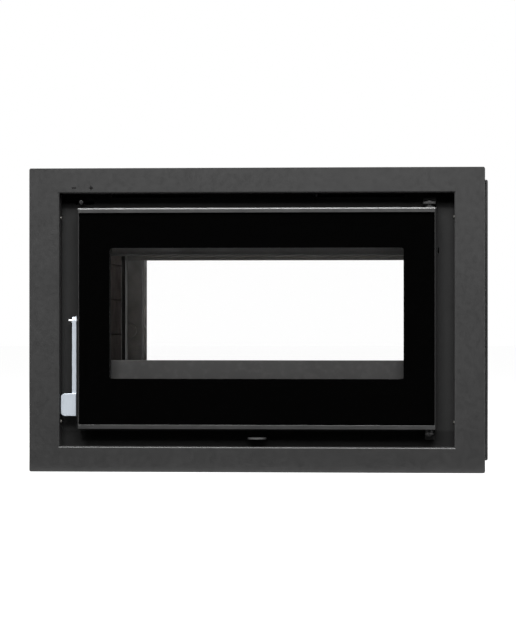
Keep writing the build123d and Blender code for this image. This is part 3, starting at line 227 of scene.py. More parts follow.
class Recipe(Nodes):
    """One material, with a Principled shader and patterns on Object coordinates."""

    def __init__(self, name: str) -> None:
        """Start a material.

        Args:
            name: Name of the material.
        """
        super().__init__(bpy.data.materials.new(name))
        self.shader = self.add("BsdfPrincipled")
        self.output = self.add("OutputMaterial", {"Surface": self.shader.outputs["BSDF"]})
        self.place = self.add("TexCoord").outputs["Object"]

    def feed(self, name: str, value: Value) -> None:
        """Set one of the shader's inputs to a constant, or link an output to it."""
        self.put(self.shader.inputs[name], value)

    def fed(self, name: str) -> Socket:
        """Output that is linked to one of the shader's inputs."""
        return self.shader.inputs[name].links[0].from_socket

    def show(self, surface: Socket) -> None:
        """Let the material show this in place of the bare shader."""
        self.put(self.output.inputs["Surface"], surface)

    def noise(self, pattern: Pattern, stretch: Point | None = None) -> Socket:
        """Noise of a pattern's size and detail.

        Args:
            pattern: The pattern.
            stretch: Multipliers of X, Y and Z, or None; a small one draws the spots out.

        Returns:
            The factor, from 0 to 1.
        """
        place = self.place
        if stretch:
            place = self.add("Mapping", {"Vector": place, "Scale": stretch}).outputs["Vector"]
        scale = 1.0 / (pattern.size * MM)
        inputs = {"Vector": place, "Scale": scale, "Detail": pattern.detail}
        return self.add("TexNoise", inputs).outputs["Fac"]

    def cells(self, size: float, feature: str = "F1") -> bpy.types.Node:
        """Voronoi node whose cells are about this many millimetres across."""
        inputs = {"Vector": self.place, "Scale": 1.0 / (size * MM)}
        return self.add("TexVoronoi", inputs, feature=feature)

    def away(self, axis: str) -> Socket:
        """Distance in metres from the middle plane across an axis, X, Y or Z."""
        return self.math("ABSOLUTE", self.add("SeparateXYZ", {0: self.place}).outputs[axis])

    def ramp(self, factor: Socket, low: float, high: float, place: float, fade: float) -> Socket:
        """Pass from one value to another before a place.

        Args:
            factor: Distance in metres.
            low: Result before the passage.
            high: Result from the place on.
            place: Where the passage ends, in millimetres.
            fade: Length of the passage in millimetres.

        Returns:
            The value.
        """
        return self.between(factor, low, high, ((place - fade) * MM, place * MM))

    def shades(
        self, factor: Socket, first: Colour, second: Colour, span: Span = NOISE_SPAN
    ) -> Socket:
        """Pass from one colour to another over a span of a factor.

        Args:
            factor: Value from 0 to 1.
            first: Colour where the span starts, and before.
            second: Colour where the span ends, and beyond.
            span: Start and end of the span.

        Returns:
            The colour.
        """
        node = self.add("ValToRGB", {"Fac": factor})
        for stop, position, colour in zip(node.color_ramp.elements, span, (first, second)):
            stop.position = position
            stop.color = (*colour, 1.0)
        return node.outputs["Color"]

    def blend(self, factor: Socket, first: Value, second: Value) -> Socket:
        """Mix of two colours, where a factor of 0 gives the first and 1 the second."""
        return self.add("Mix", {0: factor, 6: first, 7: second}, data_type="RGBA").outputs[2]

    def bump(self, height: Socket, relief: float, strength: float = 1.0) -> None:
        """Turn a height into the shader's normal.

        Args:
            height: Value from 0 to 1.
            relief: Height of 1 in millimetres.
            strength: Strength of the bump.
        """
        inputs = {"Height": height, "Distance": relief * MM, "Strength": strength}
        self.feed("Normal", self.add("Bump", inputs).outputs["Normal"])


# ---- Finishes ----------------------------------------------------------------------------------


def grey(level: float, warmth: float = 0.0) -> Colour:
    """Linear grey of a level, with red raised and blue lowered by the share of warmth."""
    return (level * (1 + warmth), level, level * (1 - warmth))


def scaled(colour: Colour, share: float) -> Colour:
    """Colour times a share."""
    return tuple(part * share for part in colour)


@dataclass(frozen=True)
class Finish:
    """A finish of the real object; each kind writes its own recipe."""

    name: str
    slot: Slot

    def cook(self, recipe: Recipe) -> None:
        """Fill the recipe's node tree."""
        raise NotImplementedError

    def material(self) -> bpy.types.Material:
        """The finish's material, made on first use.

        Returns:
            The material.
        """
        made = bpy.data.materials.get(self.name)
        if made is None:
            recipe = Recipe(self.name)
            self.cook(recipe)
            made = recipe.owner
        return made


@dataclass(frozen=True)
class StovePaint(Finish):
    """Sprayed matt stove paint: a fine orange peel, faint clouds and slightly uneven gloss."""

    level: float = 0.0255
    warmth: float = 0.0
    contrast: float = 0.07
    clouds: Pattern = Pattern(70.0, 4.0)
    gloss: float = 0.5
    rough: Span = (0.38, 0.48)
    smears: Pattern = Pattern(9.0, 5.0)
    peel: Pattern = Pattern(0.9, 2.0)
    relief: float = 0.03
    dust: float = 0.0
    dust_levels: Span = (0.09, 0.12)
    dust_warmth: float = 0.03
    dust_span: Span = (0.5, 0.8)
    specks: Pattern = Pattern(14.0, 6.0)

    def cook(self, recipe: Recipe) -> None:
        """Fill the recipe's node tree."""
        clouds = recipe.noise(self.clouds)
        dark = grey(self.level * (1 - self.contrast), self.warmth)
        pale = grey(self.level * (1 + self.contrast), self.warmth)
        base = recipe.shades(clouds, dark, pale)
        if self.dust:
            share = recipe.between(recipe.noise(self.specks), 0.0, self.dust, self.dust_span)
            dark, pale = (grey(level, self.dust_warmth) for level in self.dust_levels)
            base = recipe.blend(share, base, recipe.shades(clouds, dark, pale, WHOLE))
        recipe.feed("Base Color", base)
        recipe.feed("Roughness", recipe.between(recipe.noise(self.smears), *self.rough))
        recipe.feed("Specular IOR Level", self.gloss)
        recipe.bump(recipe.noise(self.peel), self.relief)


@dataclass(frozen=True)
class EdgedPaint(StovePaint):
    """Stove paint with painted shade: darker and duller on a piece's sides, left and right.

    It is dark beyond outer_x. Beyond half_x, it is dark up to end_y, and from back_y's first
    value to its second one. All are distances from the middle planes.
    """

    half_x: float = 352.4
    outer_x: float = 1000.0
    end_y: float = 1000.0
    back_y: Span = (0.0, 0.0)
    side_level: float = 0.012
    side_gloss: float = 0.0
    fade: float = 0.2

    def cook(self, recipe: Recipe) -> None:
        """Fill the recipe's node tree."""
        super().cook(recipe)
        # Painted shade: the mask darkens the base colour and takes gloss away on the sides.
        side = self.side(recipe)
        face = recipe.fed("Base Color")
        recipe.feed("Base Color", recipe.blend(side, face, grey(self.side_level)))
        shine = recipe.between(side, self.gloss, self.side_gloss, WHOLE)
        recipe.feed("Specular IOR Level", shine)

    def side(self, recipe: Recipe) -> Socket:
        """Mask of the painted shade.

        Args:
            recipe: The material.

        Returns:
            1 where shade is painted, and 0 elsewhere.
        """
        across, depth = recipe.away("X"), recipe.away("Y")
        far = recipe.ramp(across, 0.0, 1.0, self.half_x, self.fade)
        outer = recipe.ramp(across, 0.0, 1.0, self.outer_x, self.fade)
        end = recipe.ramp(depth, 1.0, 0.0, self.end_y, self.fade)
        behind = recipe.ramp(depth, 0.0, 1.0, self.back_y[0], self.fade)
        before = recipe.ramp(depth, 1.0, 0.0, self.back_y[1], self.fade)
        back = recipe.math("MAXIMUM", end, recipe.math("MULTIPLY", behind, before))
        return recipe.math("MAXIMUM", outer, recipe.math("MULTIPLY", far, back))


@dataclass(frozen=True)
class PlatePaint(StovePaint):
    """Paint of the face plates: painted light, shown as pale ash, towards the fire, and painted
    shadow, black, round the door.
    """

    # A level below the frame paint's: painted shade of the recess.
    level: float = 0.022
    # Painted shadow: colour of the black bands above and below the door.
    black: float = 0.002
    # Painted light on the fire side, shown as pale ash.
    ash_levels: Span = (0.72, 0.99)
    ash: Pattern = Pattern(30.0, 6.0)
    fire_y: float = 256.2
    fire_fade: float = 0.4
    band_z: Span = (84.0, 524.0)
    band_fade: float = 5.0
    band_half_x: float = 348.0
    corner_fade: float = 8.0
    corner_share: float = 0.45

    def cook(self, recipe: Recipe) -> None:
        """Fill the recipe's node tree."""
        super().cook(recipe)
        across, depth, height = (recipe.away(axis) for axis in "XYZ")
        # Painted shadow: black bands above and below the door, only partly dark in the corners.
        low_z, high_z = self.band_z
        above = recipe.ramp(height, 0.0, 1.0, high_z, self.band_fade)
        below = recipe.ramp(height, 1.0, 0.0, low_z, self.band_fade)
        beside = recipe.ramp(across, 1.0, self.corner_share, self.band_half_x, self.corner_fade)
        painted_shadow = recipe.math("MAXIMUM", above, recipe.math("MULTIPLY", below, beside))
        outside = recipe.blend(painted_shadow, recipe.fed("Base Color"), grey(self.black))
        # Painted light: the plate's fire side is painted pale, as ash.
        inside = recipe.shades(recipe.noise(self.ash), *(grey(level) for level in self.ash_levels))
        fire = recipe.ramp(depth, 1.0, 0.0, self.fire_y, self.fire_fade)
        recipe.feed("Base Color", recipe.blend(fire, outside, inside))


@dataclass(frozen=True)
class SatinSteel(Finish):
    """Brushed stainless steel with fine lines along one axis."""

    colour: Colour = (0.60, 0.645, 0.695)
    contrast: float = 0.08
    along: Point = (1.0, 1.0, 0.04)
    lines: Pattern = Pattern(0.6, 4.0)
    rough: Span = (0.60, 0.72)
    relief: float = 0.01

    def cook(self, recipe: Recipe) -> None:
        """Fill the recipe's node tree."""
        lines = recipe.noise(self.lines, self.along)
        dark, pale = (scaled(self.colour, 1 + way * self.contrast) for way in (-1, 1))
        recipe.feed("Base Color", recipe.shades(lines, dark, pale))
        recipe.feed("Metallic", 1.0)
        recipe.feed("Roughness", recipe.between(lines, *self.rough))
        recipe.bump(lines, self.relief)


@dataclass(frozen=True)
class ZincSheet(Finish):
    """Galvanised sheet with the flat crystals of its zinc."""

    level: float = 0.24
    warmth: float = -0.01
    shares: Span = (0.88, 1.06)
    spangle: float = 8.0
    rough: Span = (0.48, 0.58)
    grain: Pattern = Pattern(1.6)
    crystal_relief: float = 0.3
    relief: float = 0.02

    def cook(self, recipe: Recipe) -> None:
        """Fill the recipe's node tree."""
        crystals = recipe.cells(self.spangle)
        shade = recipe.add("SeparateColor", {"Color": crystals.outputs["Color"]}).outputs["Red"]
        dark, pale = (grey(self.level * share, self.warmth) for share in self.shares)
        recipe.feed("Base Color", recipe.shades(shade, dark, pale, WHOLE))
        recipe.feed("Metallic", 1.0)
        recipe.feed("Roughness", recipe.between(shade, *self.rough, WHOLE))
        distance = crystals.outputs["Distance"]
        grain = recipe.noise(self.grain)
        height = recipe.math("MULTIPLY_ADD", distance, self.crystal_relief, grain)
        recipe.bump(height, self.relief)


@dataclass(frozen=True)
class PlatedSteel(Finish):
    """Plated or turned steel of the small fasteners."""

    colour: Colour = (0.62, 0.61, 0.56)
    dark_share: float = 0.85
    clouds: Pattern = Pattern(3.0, 5.0)
    rough: Span = (0.25, 0.42)
    skin: Pattern = Pattern(0.5, 2.0)
    relief: float = 0.01

    def cook(self, recipe: Recipe) -> None:
        """Fill the recipe's node tree."""
        clouds = recipe.noise(self.clouds)
        dark = scaled(self.colour, self.dark_share)
        recipe.feed("Base Color", recipe.shades(clouds, dark, self.colour))
        recipe.feed("Metallic", 1.0)
        recipe.feed("Roughness", recipe.between(clouds, *self.rough))
        recipe.bump(recipe.noise(self.skin), self.relief)


@dataclass(frozen=True)
class ClearGlass(Finish):
    """Clear glass ceramic: see-through, with a reflection that grows towards the edge of view."""

    index: float = 1.1
    smears: Pattern = Pattern(60.0, 4.0)
    rough: Span = (0.01, 0.035)

    def cook(self, recipe: Recipe) -> None:
        """Fill the recipe's node tree."""
        recipe.tree.nodes.remove(recipe.shader)
        through = recipe.add("BsdfTransparent")
        rough = recipe.between(recipe.noise(self.smears), *self.rough)
        shine = recipe.add("BsdfGlossy", {"Roughness": rough})
        share = recipe.add("Fresnel", {"IOR": self.index}).outputs["Fac"]
        recipe.show(recipe.either(share, through, shine))


@dataclass(frozen=True)
class Enamel(Finish):
    """Black ceramic print fired onto the inner face of the glass; its fire side is painted pale, as
    ash, which is painted light.
    """

    level: float = 0.0012
    ash_level: float = 0.8
    contrast: float = 0.2
    grain: Pattern = Pattern(0.8, 4.0)
    ash: Pattern = Pattern(30.0, 6.0)
    fire_y: float = 293.7
    fire_fade: float = 0.1
    rough: Span = (0.5, 0.65)
    relief: float = 0.01

    def cook(self, recipe: Recipe) -> None:
        """Fill the recipe's node tree."""
        grain = recipe.noise(self.grain)
        tones = ((grain, self.level), (recipe.noise(self.ash), self.ash_level))
        black, ash = (
            recipe.shades(
                factor, grey(level * (1 - self.contrast)), grey(level * (1 + self.contrast))
            )
            for factor, level in tones
        )
        # Painted light: the print's fire side is pale, as ash, while its outer side stays black.
        inside = recipe.ramp(recipe.away("Y"), 1.0, 0.0, self.fire_y, self.fire_fade)
        recipe.feed("Base Color", recipe.blend(inside, black, ash))
        recipe.feed("Roughness", recipe.between(grain, *self.rough))
        recipe.feed("Specular IOR Level", 0.0)
        recipe.bump(grain, self.relief)


@dataclass(frozen=True)
class SealFibre(Finish):
    """Graphite-dipped glass fibre: fine crossed yarns with a dull sheen."""

    level: float = 0.05
    shares: Span = (1.5, 0.6)
    tone_span: Span = (0.2, 0.9)
    yarn: float = 1.4
    fuzz: Pattern = Pattern(0.5, 5.0)
    fuzz_share: float = 0.4
    rough: Span = (0.8, 0.95)
    wear: Pattern = Pattern(6.0)
    sheen: float = 0.2
    relief: float = 0.25
    bump_strength: float = 0.8

    def cook(self, recipe: Recipe) -> None:
        """Fill the recipe's node tree."""
        yarns = recipe.cells(self.yarn, "SMOOTH_F1").outputs["Distance"]
        fuzz = recipe.math("MULTIPLY_ADD", recipe.noise(self.fuzz), self.fuzz_share, yarns)
        tones = (grey(self.level * share) for share in self.shares)
        recipe.feed("Base Color", recipe.shades(fuzz, *tones, self.tone_span))
        recipe.feed("Roughness", recipe.between(recipe.noise(self.wear), *self.rough))
        recipe.feed("Sheen Weight", self.sheen)
        recipe.bump(fuzz, self.relief, self.bump_strength)


@dataclass(frozen=True)
class Refractory(Finish):
    """Pressed fireclay or vermiculite: grains, pores and soot that thins out upwards."""

    pale: Colour = (0.10, 0.085, 0.078)
    dark: Colour = (0.045, 0.039, 0.036)
    patches: Pattern = Pattern(38.0, 6.0)
    grain: float = 2.2
    grain_pale: float = 1.5
    grain_span: Span = (0.0, 0.5)
    grain_shares: Span = (0.1, 0.5)
    grain_patches: Pattern = Pattern(5.0, 4.0)
    gloss: float = 0.2
    rough: Span = (0.82, 0.96)
    wear: Pattern = Pattern(12.0)
    pores: Pattern = Pattern(1.1, 5.0)
    grain_relief: float = 0.5
    relief: float = 0.35
    bump_strength: float = 0.8
    soot: float = 0.0
    soot_z: Span = (200.0, 440.0)
    soot_levels: Span = (0.001, 0.002)

    def cook(self, recipe: Recipe) -> None:
        """Fill the recipe's node tree."""
        patches = recipe.noise(self.patches)
        base = recipe.shades(patches, self.dark, self.pale)
        grains = recipe.cells(self.grain).outputs["Distance"]
        bright = scaled(self.pale, self.grain_pale)
        speck = recipe.shades(grains, bright, self.dark, self.grain_span)
        share = recipe.between(recipe.noise(self.grain_patches), *self.grain_shares)
        base = recipe.blend(share, base, speck)
        if self.soot:
            low, high = (z * MM for z in self.soot_z)
            smoke = recipe.between(recipe.away("Z"), self.soot, 0.0, (low, high))
            tones = (grey(level) for level in self.soot_levels)
            base = recipe.blend(smoke, base, recipe.shades(patches, *tones, WHOLE))
        recipe.feed("Base Color", base)
        recipe.feed("Roughness", recipe.between(recipe.noise(self.wear), *self.rough))
        recipe.feed("Specular IOR Level", self.gloss)
        pores = recipe.noise(self.pores)
        height = recipe.math("MULTIPLY_ADD", grains, self.grain_relief, pores)
        recipe.bump(height, self.relief, self.bump_strength)


@dataclass(frozen=True)
class CastIron(Finish):
    """Sand-cast iron with its grainy skin."""

    level: float = 0.05
    shares: Span = (0.8, 1.3)
    rust: float = 0.06
    clouds: Pattern = Pattern(22.0, 5.0)
    skin: Pattern = Pattern(1.5, 6.0)
    metal: float = 0.6
    rough: Span = (0.55, 0.8)
    relief: float = 0.3
    bump_strength: float = 0.9

    def cook(self, recipe: Recipe) -> None:
        """Fill the recipe's node tree."""
        skin = recipe.noise(self.skin)
        dark = grey(self.level * self.shares[0])
        pale = grey(self.level * self.shares[1], self.rust)
        recipe.feed("Base Color", recipe.shades(recipe.noise(self.clouds), dark, pale))
        recipe.feed("Metallic", self.metal)
        recipe.feed("Roughness", recipe.between(skin, *self.rough))
        recipe.bump(skin, self.relief, self.bump_strength)


FRAME_PAINT = StovePaint("frame_stove_paint", Slot.FRAME_PAINT)
# Painted shade: dark on the frame's outer sides, on its returns' ends and on the back of its
# border.
TRIM_PAINT = EdgedPaint(
    "trim_frame_paint",
    Slot.FRAME_PAINT,
    half_x=392.0,
    outer_x=449.7,
    end_y=260.6,
    back_y=(296.7, 297.4),
    side_gloss=0.3,
)
PLATE_PAINT = PlatePaint("face_plate_paint", Slot.FRAME_PAINT, gloss=0.2)
BLACK_PAINT = StovePaint("black_steel_paint", Slot.BLACK_STEEL, level=0.028)
# Painted shade: dark and duller on the door surround's side lips.
SURROUND_PAINT = EdgedPaint(
    "door_surround_paint",
    Slot.BLACK_STEEL,
    level=0.022,
    gloss=1.1,
    rough=(0.34, 0.42),
    side_level=0.010,
    side_gloss=0.2,
)
PULL_PAINT = StovePaint("air_pull_paint", Slot.BLACK_STEEL, level=0.085)
SMOKED = {"slot": Slot.BLACK_STEEL, "warmth": 0.01, "gloss": 0.2}
# Level well above the black steel's: painted light inside the firebox, with ash dust specks on top.
FIREBOX_PAINT = StovePaint("firebox_steel_paint", level=0.053, dust=0.3, **SMOKED)
# Level far above the black steel's: painted light in the latch pockets.
POCKET_PAINT = StovePaint("latch_pocket_paint", level=0.46, **SMOKED)
# Front and rear copies of one lintel paint whose levels, well above the black steel's and unlike
# each other, are painted light, with ash dust on top.
LINTEL_PAINTED_LIGHT = {
    side: StovePaint(f"{side.word}_lintel_paint", level=level, dust=0.3, **SMOKED)
    for side, level in ((Side.FRONT, 0.12), (Side.REAR, 0.32))
}
# Front and rear copies of one door frame paint: the rear one's much higher level is painted light
# from inside the firebox.
DOOR_FRAME_PAINTED_LIGHT = {
    side: StovePaint(
        f"{side.word}_door_frame_paint",
        Slot.BLACK_STEEL,
        level=level,
        gloss=0.0,
        rough=(0.85, 0.95),
    )
    for side, level in ((Side.FRONT, 0.05), (Side.REAR, 0.28))
}
FLUE_PAINT = StovePaint("flue_paint", Slot.FLUE_STEEL, level=0.03, rough=(0.55, 0.7))
CASING_SHEET = ZincSheet("galvanised_sheet", Slot.CASING_ZINC)
ZINC_PLATED = PlatedSteel("zinc_plated_steel", Slot.ZINC_FASTENER)
DULL_ZINC = PlatedSteel(
    "dull_zinc", Slot.ZINC_FASTENER, colour=(0.22, 0.215, 0.20), rough=(0.4, 0.55)
)
TURNED_STEEL = PlatedSteel(
    "turned_dark_steel", Slot.HINGE_STEEL, colour=grey(0.1), rough=(0.4, 0.55)
)
BLACKENED_STEEL = PlatedSteel(
    "blackened_steel", Slot.KNOB_BLACK, colour=grey(0.06), rough=(0.35, 0.5)
)
SATIN_STEEL = SatinSteel("satin_stainless_steel", Slot.STAINLESS)
SHAFT_STEEL = SatinSteel(
    "ground_stainless_steel",
    Slot.STAINLESS,
    colour=(0.7, 0.71, 0.72),
    along=(0.05, 1.0, 1.0),
    rough=(0.25, 0.36),
)
DOOR_GLASS = ClearGlass("clear_glass_ceramic", Slot.GLASS)
GLASS_PRINT = Enamel("black_glass_print", Slot.GLASS)
SEAL_TAPE = SealFibre("fibre_seal", Slot.SEAL_FIBRE)
FIRECLAY = Refractory(
    "sooted_fireclay",
    Slot.FIREBRICK,
    pale=(0.20, 0.18, 0.178),
    dark=(0.12, 0.107, 0.105),
    gloss=0.0,
    soot=0.7,
)
ASHEN_CLAY = Refractory(
    "ashen_fireclay", Slot.FIREBRICK, pale=(0.55, 0.54, 0.525), dark=(0.36, 0.355, 0.345)
)
BAFFLE_BOARD = Refractory(
    "vermiculite_board",
    Slot.VERMICULITE,
    pale=(0.42, 0.35, 0.25),
    dark=(0.26, 0.21, 0.14),
    grain=3.0,
)
GRATE_IRON = CastIron("cast_iron", Slot.GRATE_IRON)


# ---- Meshes ------------------------------------------------------------------------------------


def waves(points: np.ndarray, wavelength: float, seed: int, count: int = 14) -> np.ndarray:
    """Smooth unevenness: the sum of sine waves that run in random directions.

    Args:
        points: Points, in any array whose last axis is X, Y and Z.
        wavelength: Usual length of a wave, in the points' unit.
        seed: Seed of the directions and phases.
        count: Number of waves.

    Returns:
        Values from about -1 to 1, one for each point.
    """
    draw = np.random.default_rng(seed)
    heading = draw.normal(size=(count, 3))
    heading /= np.linalg.norm(heading, axis=1, keepdims=True)
    heading *= 2 * pi / (wavelength * draw.uniform(0.7, 1.5, size=(count, 1)))
    phase = draw.uniform(0, 2 * pi, size=count)
    return np.sin(points @ heading.T + phase).sum(axis=-1) / np.sqrt(2 * count)


def grid_of(x: np.ndarray, y: np.ndarray | float, z: np.ndarray) -> np.ndarray:
    """Grid of points from three coordinates, each spread to the shape that they share."""
    return np.stack(np.broadcast_arrays(x, y, z), axis=-1)


def turned(radius: np.ndarray, height: np.ndarray) -> np.ndarray:
    """Rings round the Z axis: a ring's points stand at even angles, each at its own radius.

    Args:
        radius: Radii, with a row for each ring.
        height: Height of each ring.

    Returns:
        Array of rings, points and coordinates.
    """
    angle = np.linspace(0, 2 * pi, radius.shape[1], endpoint=False)
    return grid_of(radius * np.cos(angle), radius * np.sin(angle), height[:, None])


def square_loop(steps_x: int, steps_z: int) -> np.ndarray:
    """Points round the square from -1 to 1: along the bottom, up, back and down.

    Args:
        steps_x: Points on the bottom, and on the top.
        steps_z: Points on each of the two other sides.

    Returns:
        A row of X and Z for each point.
    """
    level = np.linspace(-1, 1, steps_x, endpoint=False)
    rise = np.linspace(-1, 1, steps_z, endpoint=False)
    x = np.concatenate([level, np.ones(steps_z), -level, -np.ones(steps_z)])
    z = np.concatenate([-np.ones(steps_x), rise, np.ones(steps_x), -rise])
    return np.stack([x, z], axis=1)


def rectangle_loop(
    half_x: float, half_z: float, middle_z: float, radius: float, steps: int
) -> tuple[np.ndarray, np.ndarray]:
    """Closed loop along a rectangle with rounded corners, in X and Z.

    A point runs round a sharp rectangle. Where it passes a corner, it is pulled onto the circle
    about that corner's own centre, so that it keeps to the rounded outline.

    Args:
        half_x: Half the width.
        half_z: Half the height.
        middle_z: Height of the middle.
        radius: Radius of the corners.
        steps: Points on each side.

    Returns:
        The points and the outward directions, both with one row of X and Z for each point.
    """
    sharp = square_loop(steps, steps) * (half_x, half_z)
    limit = np.array([half_x, half_z]) - radius
    centre = np.clip(sharp, -limit, limit)
    outward = sharp - centre
    outward /= np.linalg.norm(outward, axis=1, keepdims=True)
    return centre + radius * outward + (0, middle_z), outward


def rounded_block(
    lower: np.ndarray, upper: np.ndarray, radius: float, cell: float
) -> tuple[np.ndarray, np.ndarray, np.ndarray]:
    """Surface of a block with rounded edges, as rings round its Y axis.

    Rectangles grow from the middle of one end face, run along Y and shrink to the middle of the
    other. Each point is then pulled onto the ball about the nearest point of a smaller block.

    Args:
        lower: Lowest corner.
        upper: Highest corner.
        radius: Radius of the edges.
        cell: Size of a face.

    Returns:
        The points, the outward directions and each point's distance from the nearest edge.
    """
    half = (upper - lower) / 2
    middle = (upper + lower) / 2
    steps_x, steps_z = (max(4, int(round(half[axis] / cell)) * 2 + 2) for axis in (0, 2))
    ring = square_loop(steps_x, steps_z) * (half[0], half[2])
    grow = np.linspace(0, 1, max(4, int(half[0] / cell)), endpoint=False)
    run = np.linspace(-1, 1, int(half[1] * 2 / cell) + 1)
    scale = np.concatenate([grow, np.ones(len(run)), grow[::-1]])[:, None]
    along = np.concatenate([-np.ones(len(grow)), run, np.ones(len(grow))])[:, None] * half[1]
    sharp = grid_of(scale * ring[:, 0], along, scale * ring[:, 1])
    inner = np.clip(sharp, -(half - radius), half - radius)
    outward = sharp - inner
    outward /= np.linalg.norm(outward, axis=-1, keepdims=True)
    to_edge = np.sort(half - np.abs(sharp), axis=-1)[..., 1]
    return inner + radius * outward + middle, outward, to_edge


def new_object(name: str, data: bpy.types.ID) -> bpy.types.Object:
    """New object of the scene.

    Args:
        name: Name of the object.
        data: Its mesh, lamp or camera.

    Returns:
        The object.
    """
    item = bpy.data.objects.new(name, data)
    bpy.context.scene.collection.objects.link(item)
    return item


def tidy(mesh: bpy.types.Mesh, flats: bool = False) -> None:
    """Merge doubles, drop faces without area and turn the normals outwards.

    Args:
        mesh: Mesh to clean.
        flats: True to join the triangles of a plane into large faces without notches.
    """
    work = bmesh.new()
    work.from_mesh(mesh)
    bmesh.ops.remove_doubles(work, verts=work.verts, dist=MERGED)
    bmesh.ops.dissolve_degenerate(work, edges=work.edges, dist=NO_LENGTH)
    if flats:
        parts = {"verts": work.verts, "edges": work.edges}
        bmesh.ops.dissolve_limit(work, angle_limit=FLAT_ANGLE, **parts)
        bmesh.ops.connect_verts_concave(work, faces=work.faces)
    bmesh.ops.recalc_face_normals(work, faces=work.faces)
    work.to_mesh(mesh)
    work.free()
    mesh.update()


def shell(
    name: str, grids: list[np.ndarray], path_closed: bool = False, smooth: float | None = 40.0
) -> bpy.types.Object:
    """Make one object from grids whose rings are closed.

    Each grid has rings of points, and neighbouring rings are joined with four-sided faces. Rings
    that shrink to a point are merged into it, and the normals are turned outwards.

    Args:
        name: Name of the object.
        grids: Arrays of rings, points and coordinates, in millimetres.
        path_closed: True if the last ring joins the first.
        smooth: Angle in degrees above which an edge stays sharp, or None for flat faces.

    Returns:
        The object.
    """
    points, faces, offset = [], [], 0
    for grid in grids:
        rings, around = grid.shape[:2]
        index = offset + np.arange(rings * around).reshape(rings, around)
        if path_closed:
            index = np.concatenate([index, index[:1]])
        beside = np.roll(index, -1, axis=1)
        quads = np.stack([index[:-1], beside[:-1], beside[1:], index[1:]], axis=-1)
        faces.append(quads.reshape(-1, 4))
        points.append(grid.reshape(-1, 3) * MM)
        offset += rings * around
    mesh = bpy.data.meshes.new(name)
    mesh.from_pydata(np.concatenate(points), [], np.concatenate(faces))
    tidy(mesh)
    if smooth is not None:
        mesh.shade_smooth()
        mesh.set_sharp_from_angle(angle=radians(smooth))
    return new_object(name, mesh)


def bevelled(
    item: bpy.types.Object, name: str, radius: float, segments: int, **settings: object
) -> None:
    """Round edges of a piece with a modifier.

    Args:
        item: The piece.
        name: Name of the modifier.
        radius: Width of the rounding in millimetres.
        segments: Faces across the rounding.
        **settings: Properties of the modifier that say which edges are rounded.
    """
    rounding = item.modifiers.new(name, "BEVEL")
    rounding.width = radius * MM
    rounding.segments = segments
    for key, value in settings.items():
        setattr(rounding, key, value)


@dataclass(frozen=True)
class Folds:
    """The bend round a trim frame's opening, wider than the deburring of its other edges."""

    radius: float = 3.4
    half_x: float = 390.0
    low_z: float = 50.0
    high_z: float = 550.0
    near: float = 0.1
    segments: int = 5

    def bend(self, item: bpy.types.Object) -> None:
        """Round the edges that lie on the opening's outline in the frame's face.

        Args:
            item: The frame.
        """
        mesh = item.data
        points = np.empty(len(mesh.vertices) * 3, np.float32)
        mesh.vertices.foreach_get("co", points)
        ends = np.empty(len(mesh.edges) * 2, np.int32)
        mesh.edges.foreach_get("vertices", ends)
        x, y, z = (points.reshape(-1, 3)[ends.reshape(-1, 2)].mean(axis=1) / MM).T
        on_face = np.abs(np.abs(y) - HALF_DEPTH) < self.near
        within_x = np.abs(x) < self.half_x + self.near
        within_z = (z > self.low_z - self.near) & (z < self.high_z + self.near)
        upright = np.abs(np.abs(x) - self.half_x) < self.near
        level = np.minimum(np.abs(z - self.low_z), np.abs(z - self.high_z)) < self.near
        chosen = on_face & within_x & within_z & (upright | level)
        weight = mesh.attributes.new("bevel_weight_edge", "FLOAT", "EDGE")
        weight.data.foreach_set("value", chosen.astype(np.float32))
        limits = {"limit_method": "WEIGHT", "use_clamp_overlap": False}
        bevelled(item, "fold", self.radius, self.segments, **limits)


def softened(
    node: str, edge: float, segments: int = 2, folds: Folds | None = None
) -> bpy.types.Object:
    """Copy of a CAD node whose sharp edges are rounded as bent and deburred metal is.

    Args:
        node: Name of the CAD node.
        edge: Width of the rounding in millimetres.
        segments: Faces across the rounding.
        folds: Edges that are bent to a wider radius, or None.

    Returns:
        The object.
    """
    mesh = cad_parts[node].data.copy()
    mesh.name = f"{node}.soft"
    mesh.materials.clear()
    tidy(mesh, flats=True)
    mesh.shade_smooth()
    item = new_object(f"{node}.soft", mesh)
    if folds:
        folds.bend(item)
    limits = {"limit_method": "ANGLE", "angle_limit": SHARP_ANGLE, "use_clamp_overlap": True}
    bevelled(item, "rounding", edge, segments, **limits)
    flats = item.modifiers.new("flats", "WEIGHTED_NORMAL")
    flats.mode = "FACE_AREA"
    flats.weight = 100
    flats.thresh = 0.001
    return item


def ride_as(item: bpy.types.Object, body: Body, finish: Finish, *nodes: str) -> None:
    """Dress a piece, put it on its body and hide the CAD nodes that it replaces.

    Args:
        item: The piece.
        body: Body that it rides on.
        finish: Its finish.
        *nodes: CAD nodes that it replaces.
    """
    item.data.materials.clear()
    item.data.materials.append(finish.material())
    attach(item, body.value)
    if nodes:
        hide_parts(*nodes)
    LOG.info("%s rides on %s, finish %s", item.name, body.value, finish.name)


def soften(node: str, body: Body, finish: Finish, edge: float, segments: int = 2) -> None:
    """Replace a CAD node with its softened copy.

    Args:
        node: Name of the CAD node.
        body: Body that it rides on.
        finish: Its finish.
        edge: Width of the rounding in millimetres.
        segments: Faces across the rounding.
    """
    ride_as(softened(node, edge, segments), body, finish, node)


def dress(node: str, finish: Finish) -> None:
    """Give a CAD node that stays shown its finish.

    Args:
        node: Name of the CAD node.
        finish: Its finish.
    """
    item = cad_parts[node]
    if not item.material_slots:
        item.data.materials.append(None)
    for place in item.material_slots:
        place.material = finish.material()
    LOG.info("%s keeps its CAD shape, finish %s", node, finish.name)


# ---- Sub-assemblies ----------------------------------------------------------------------------


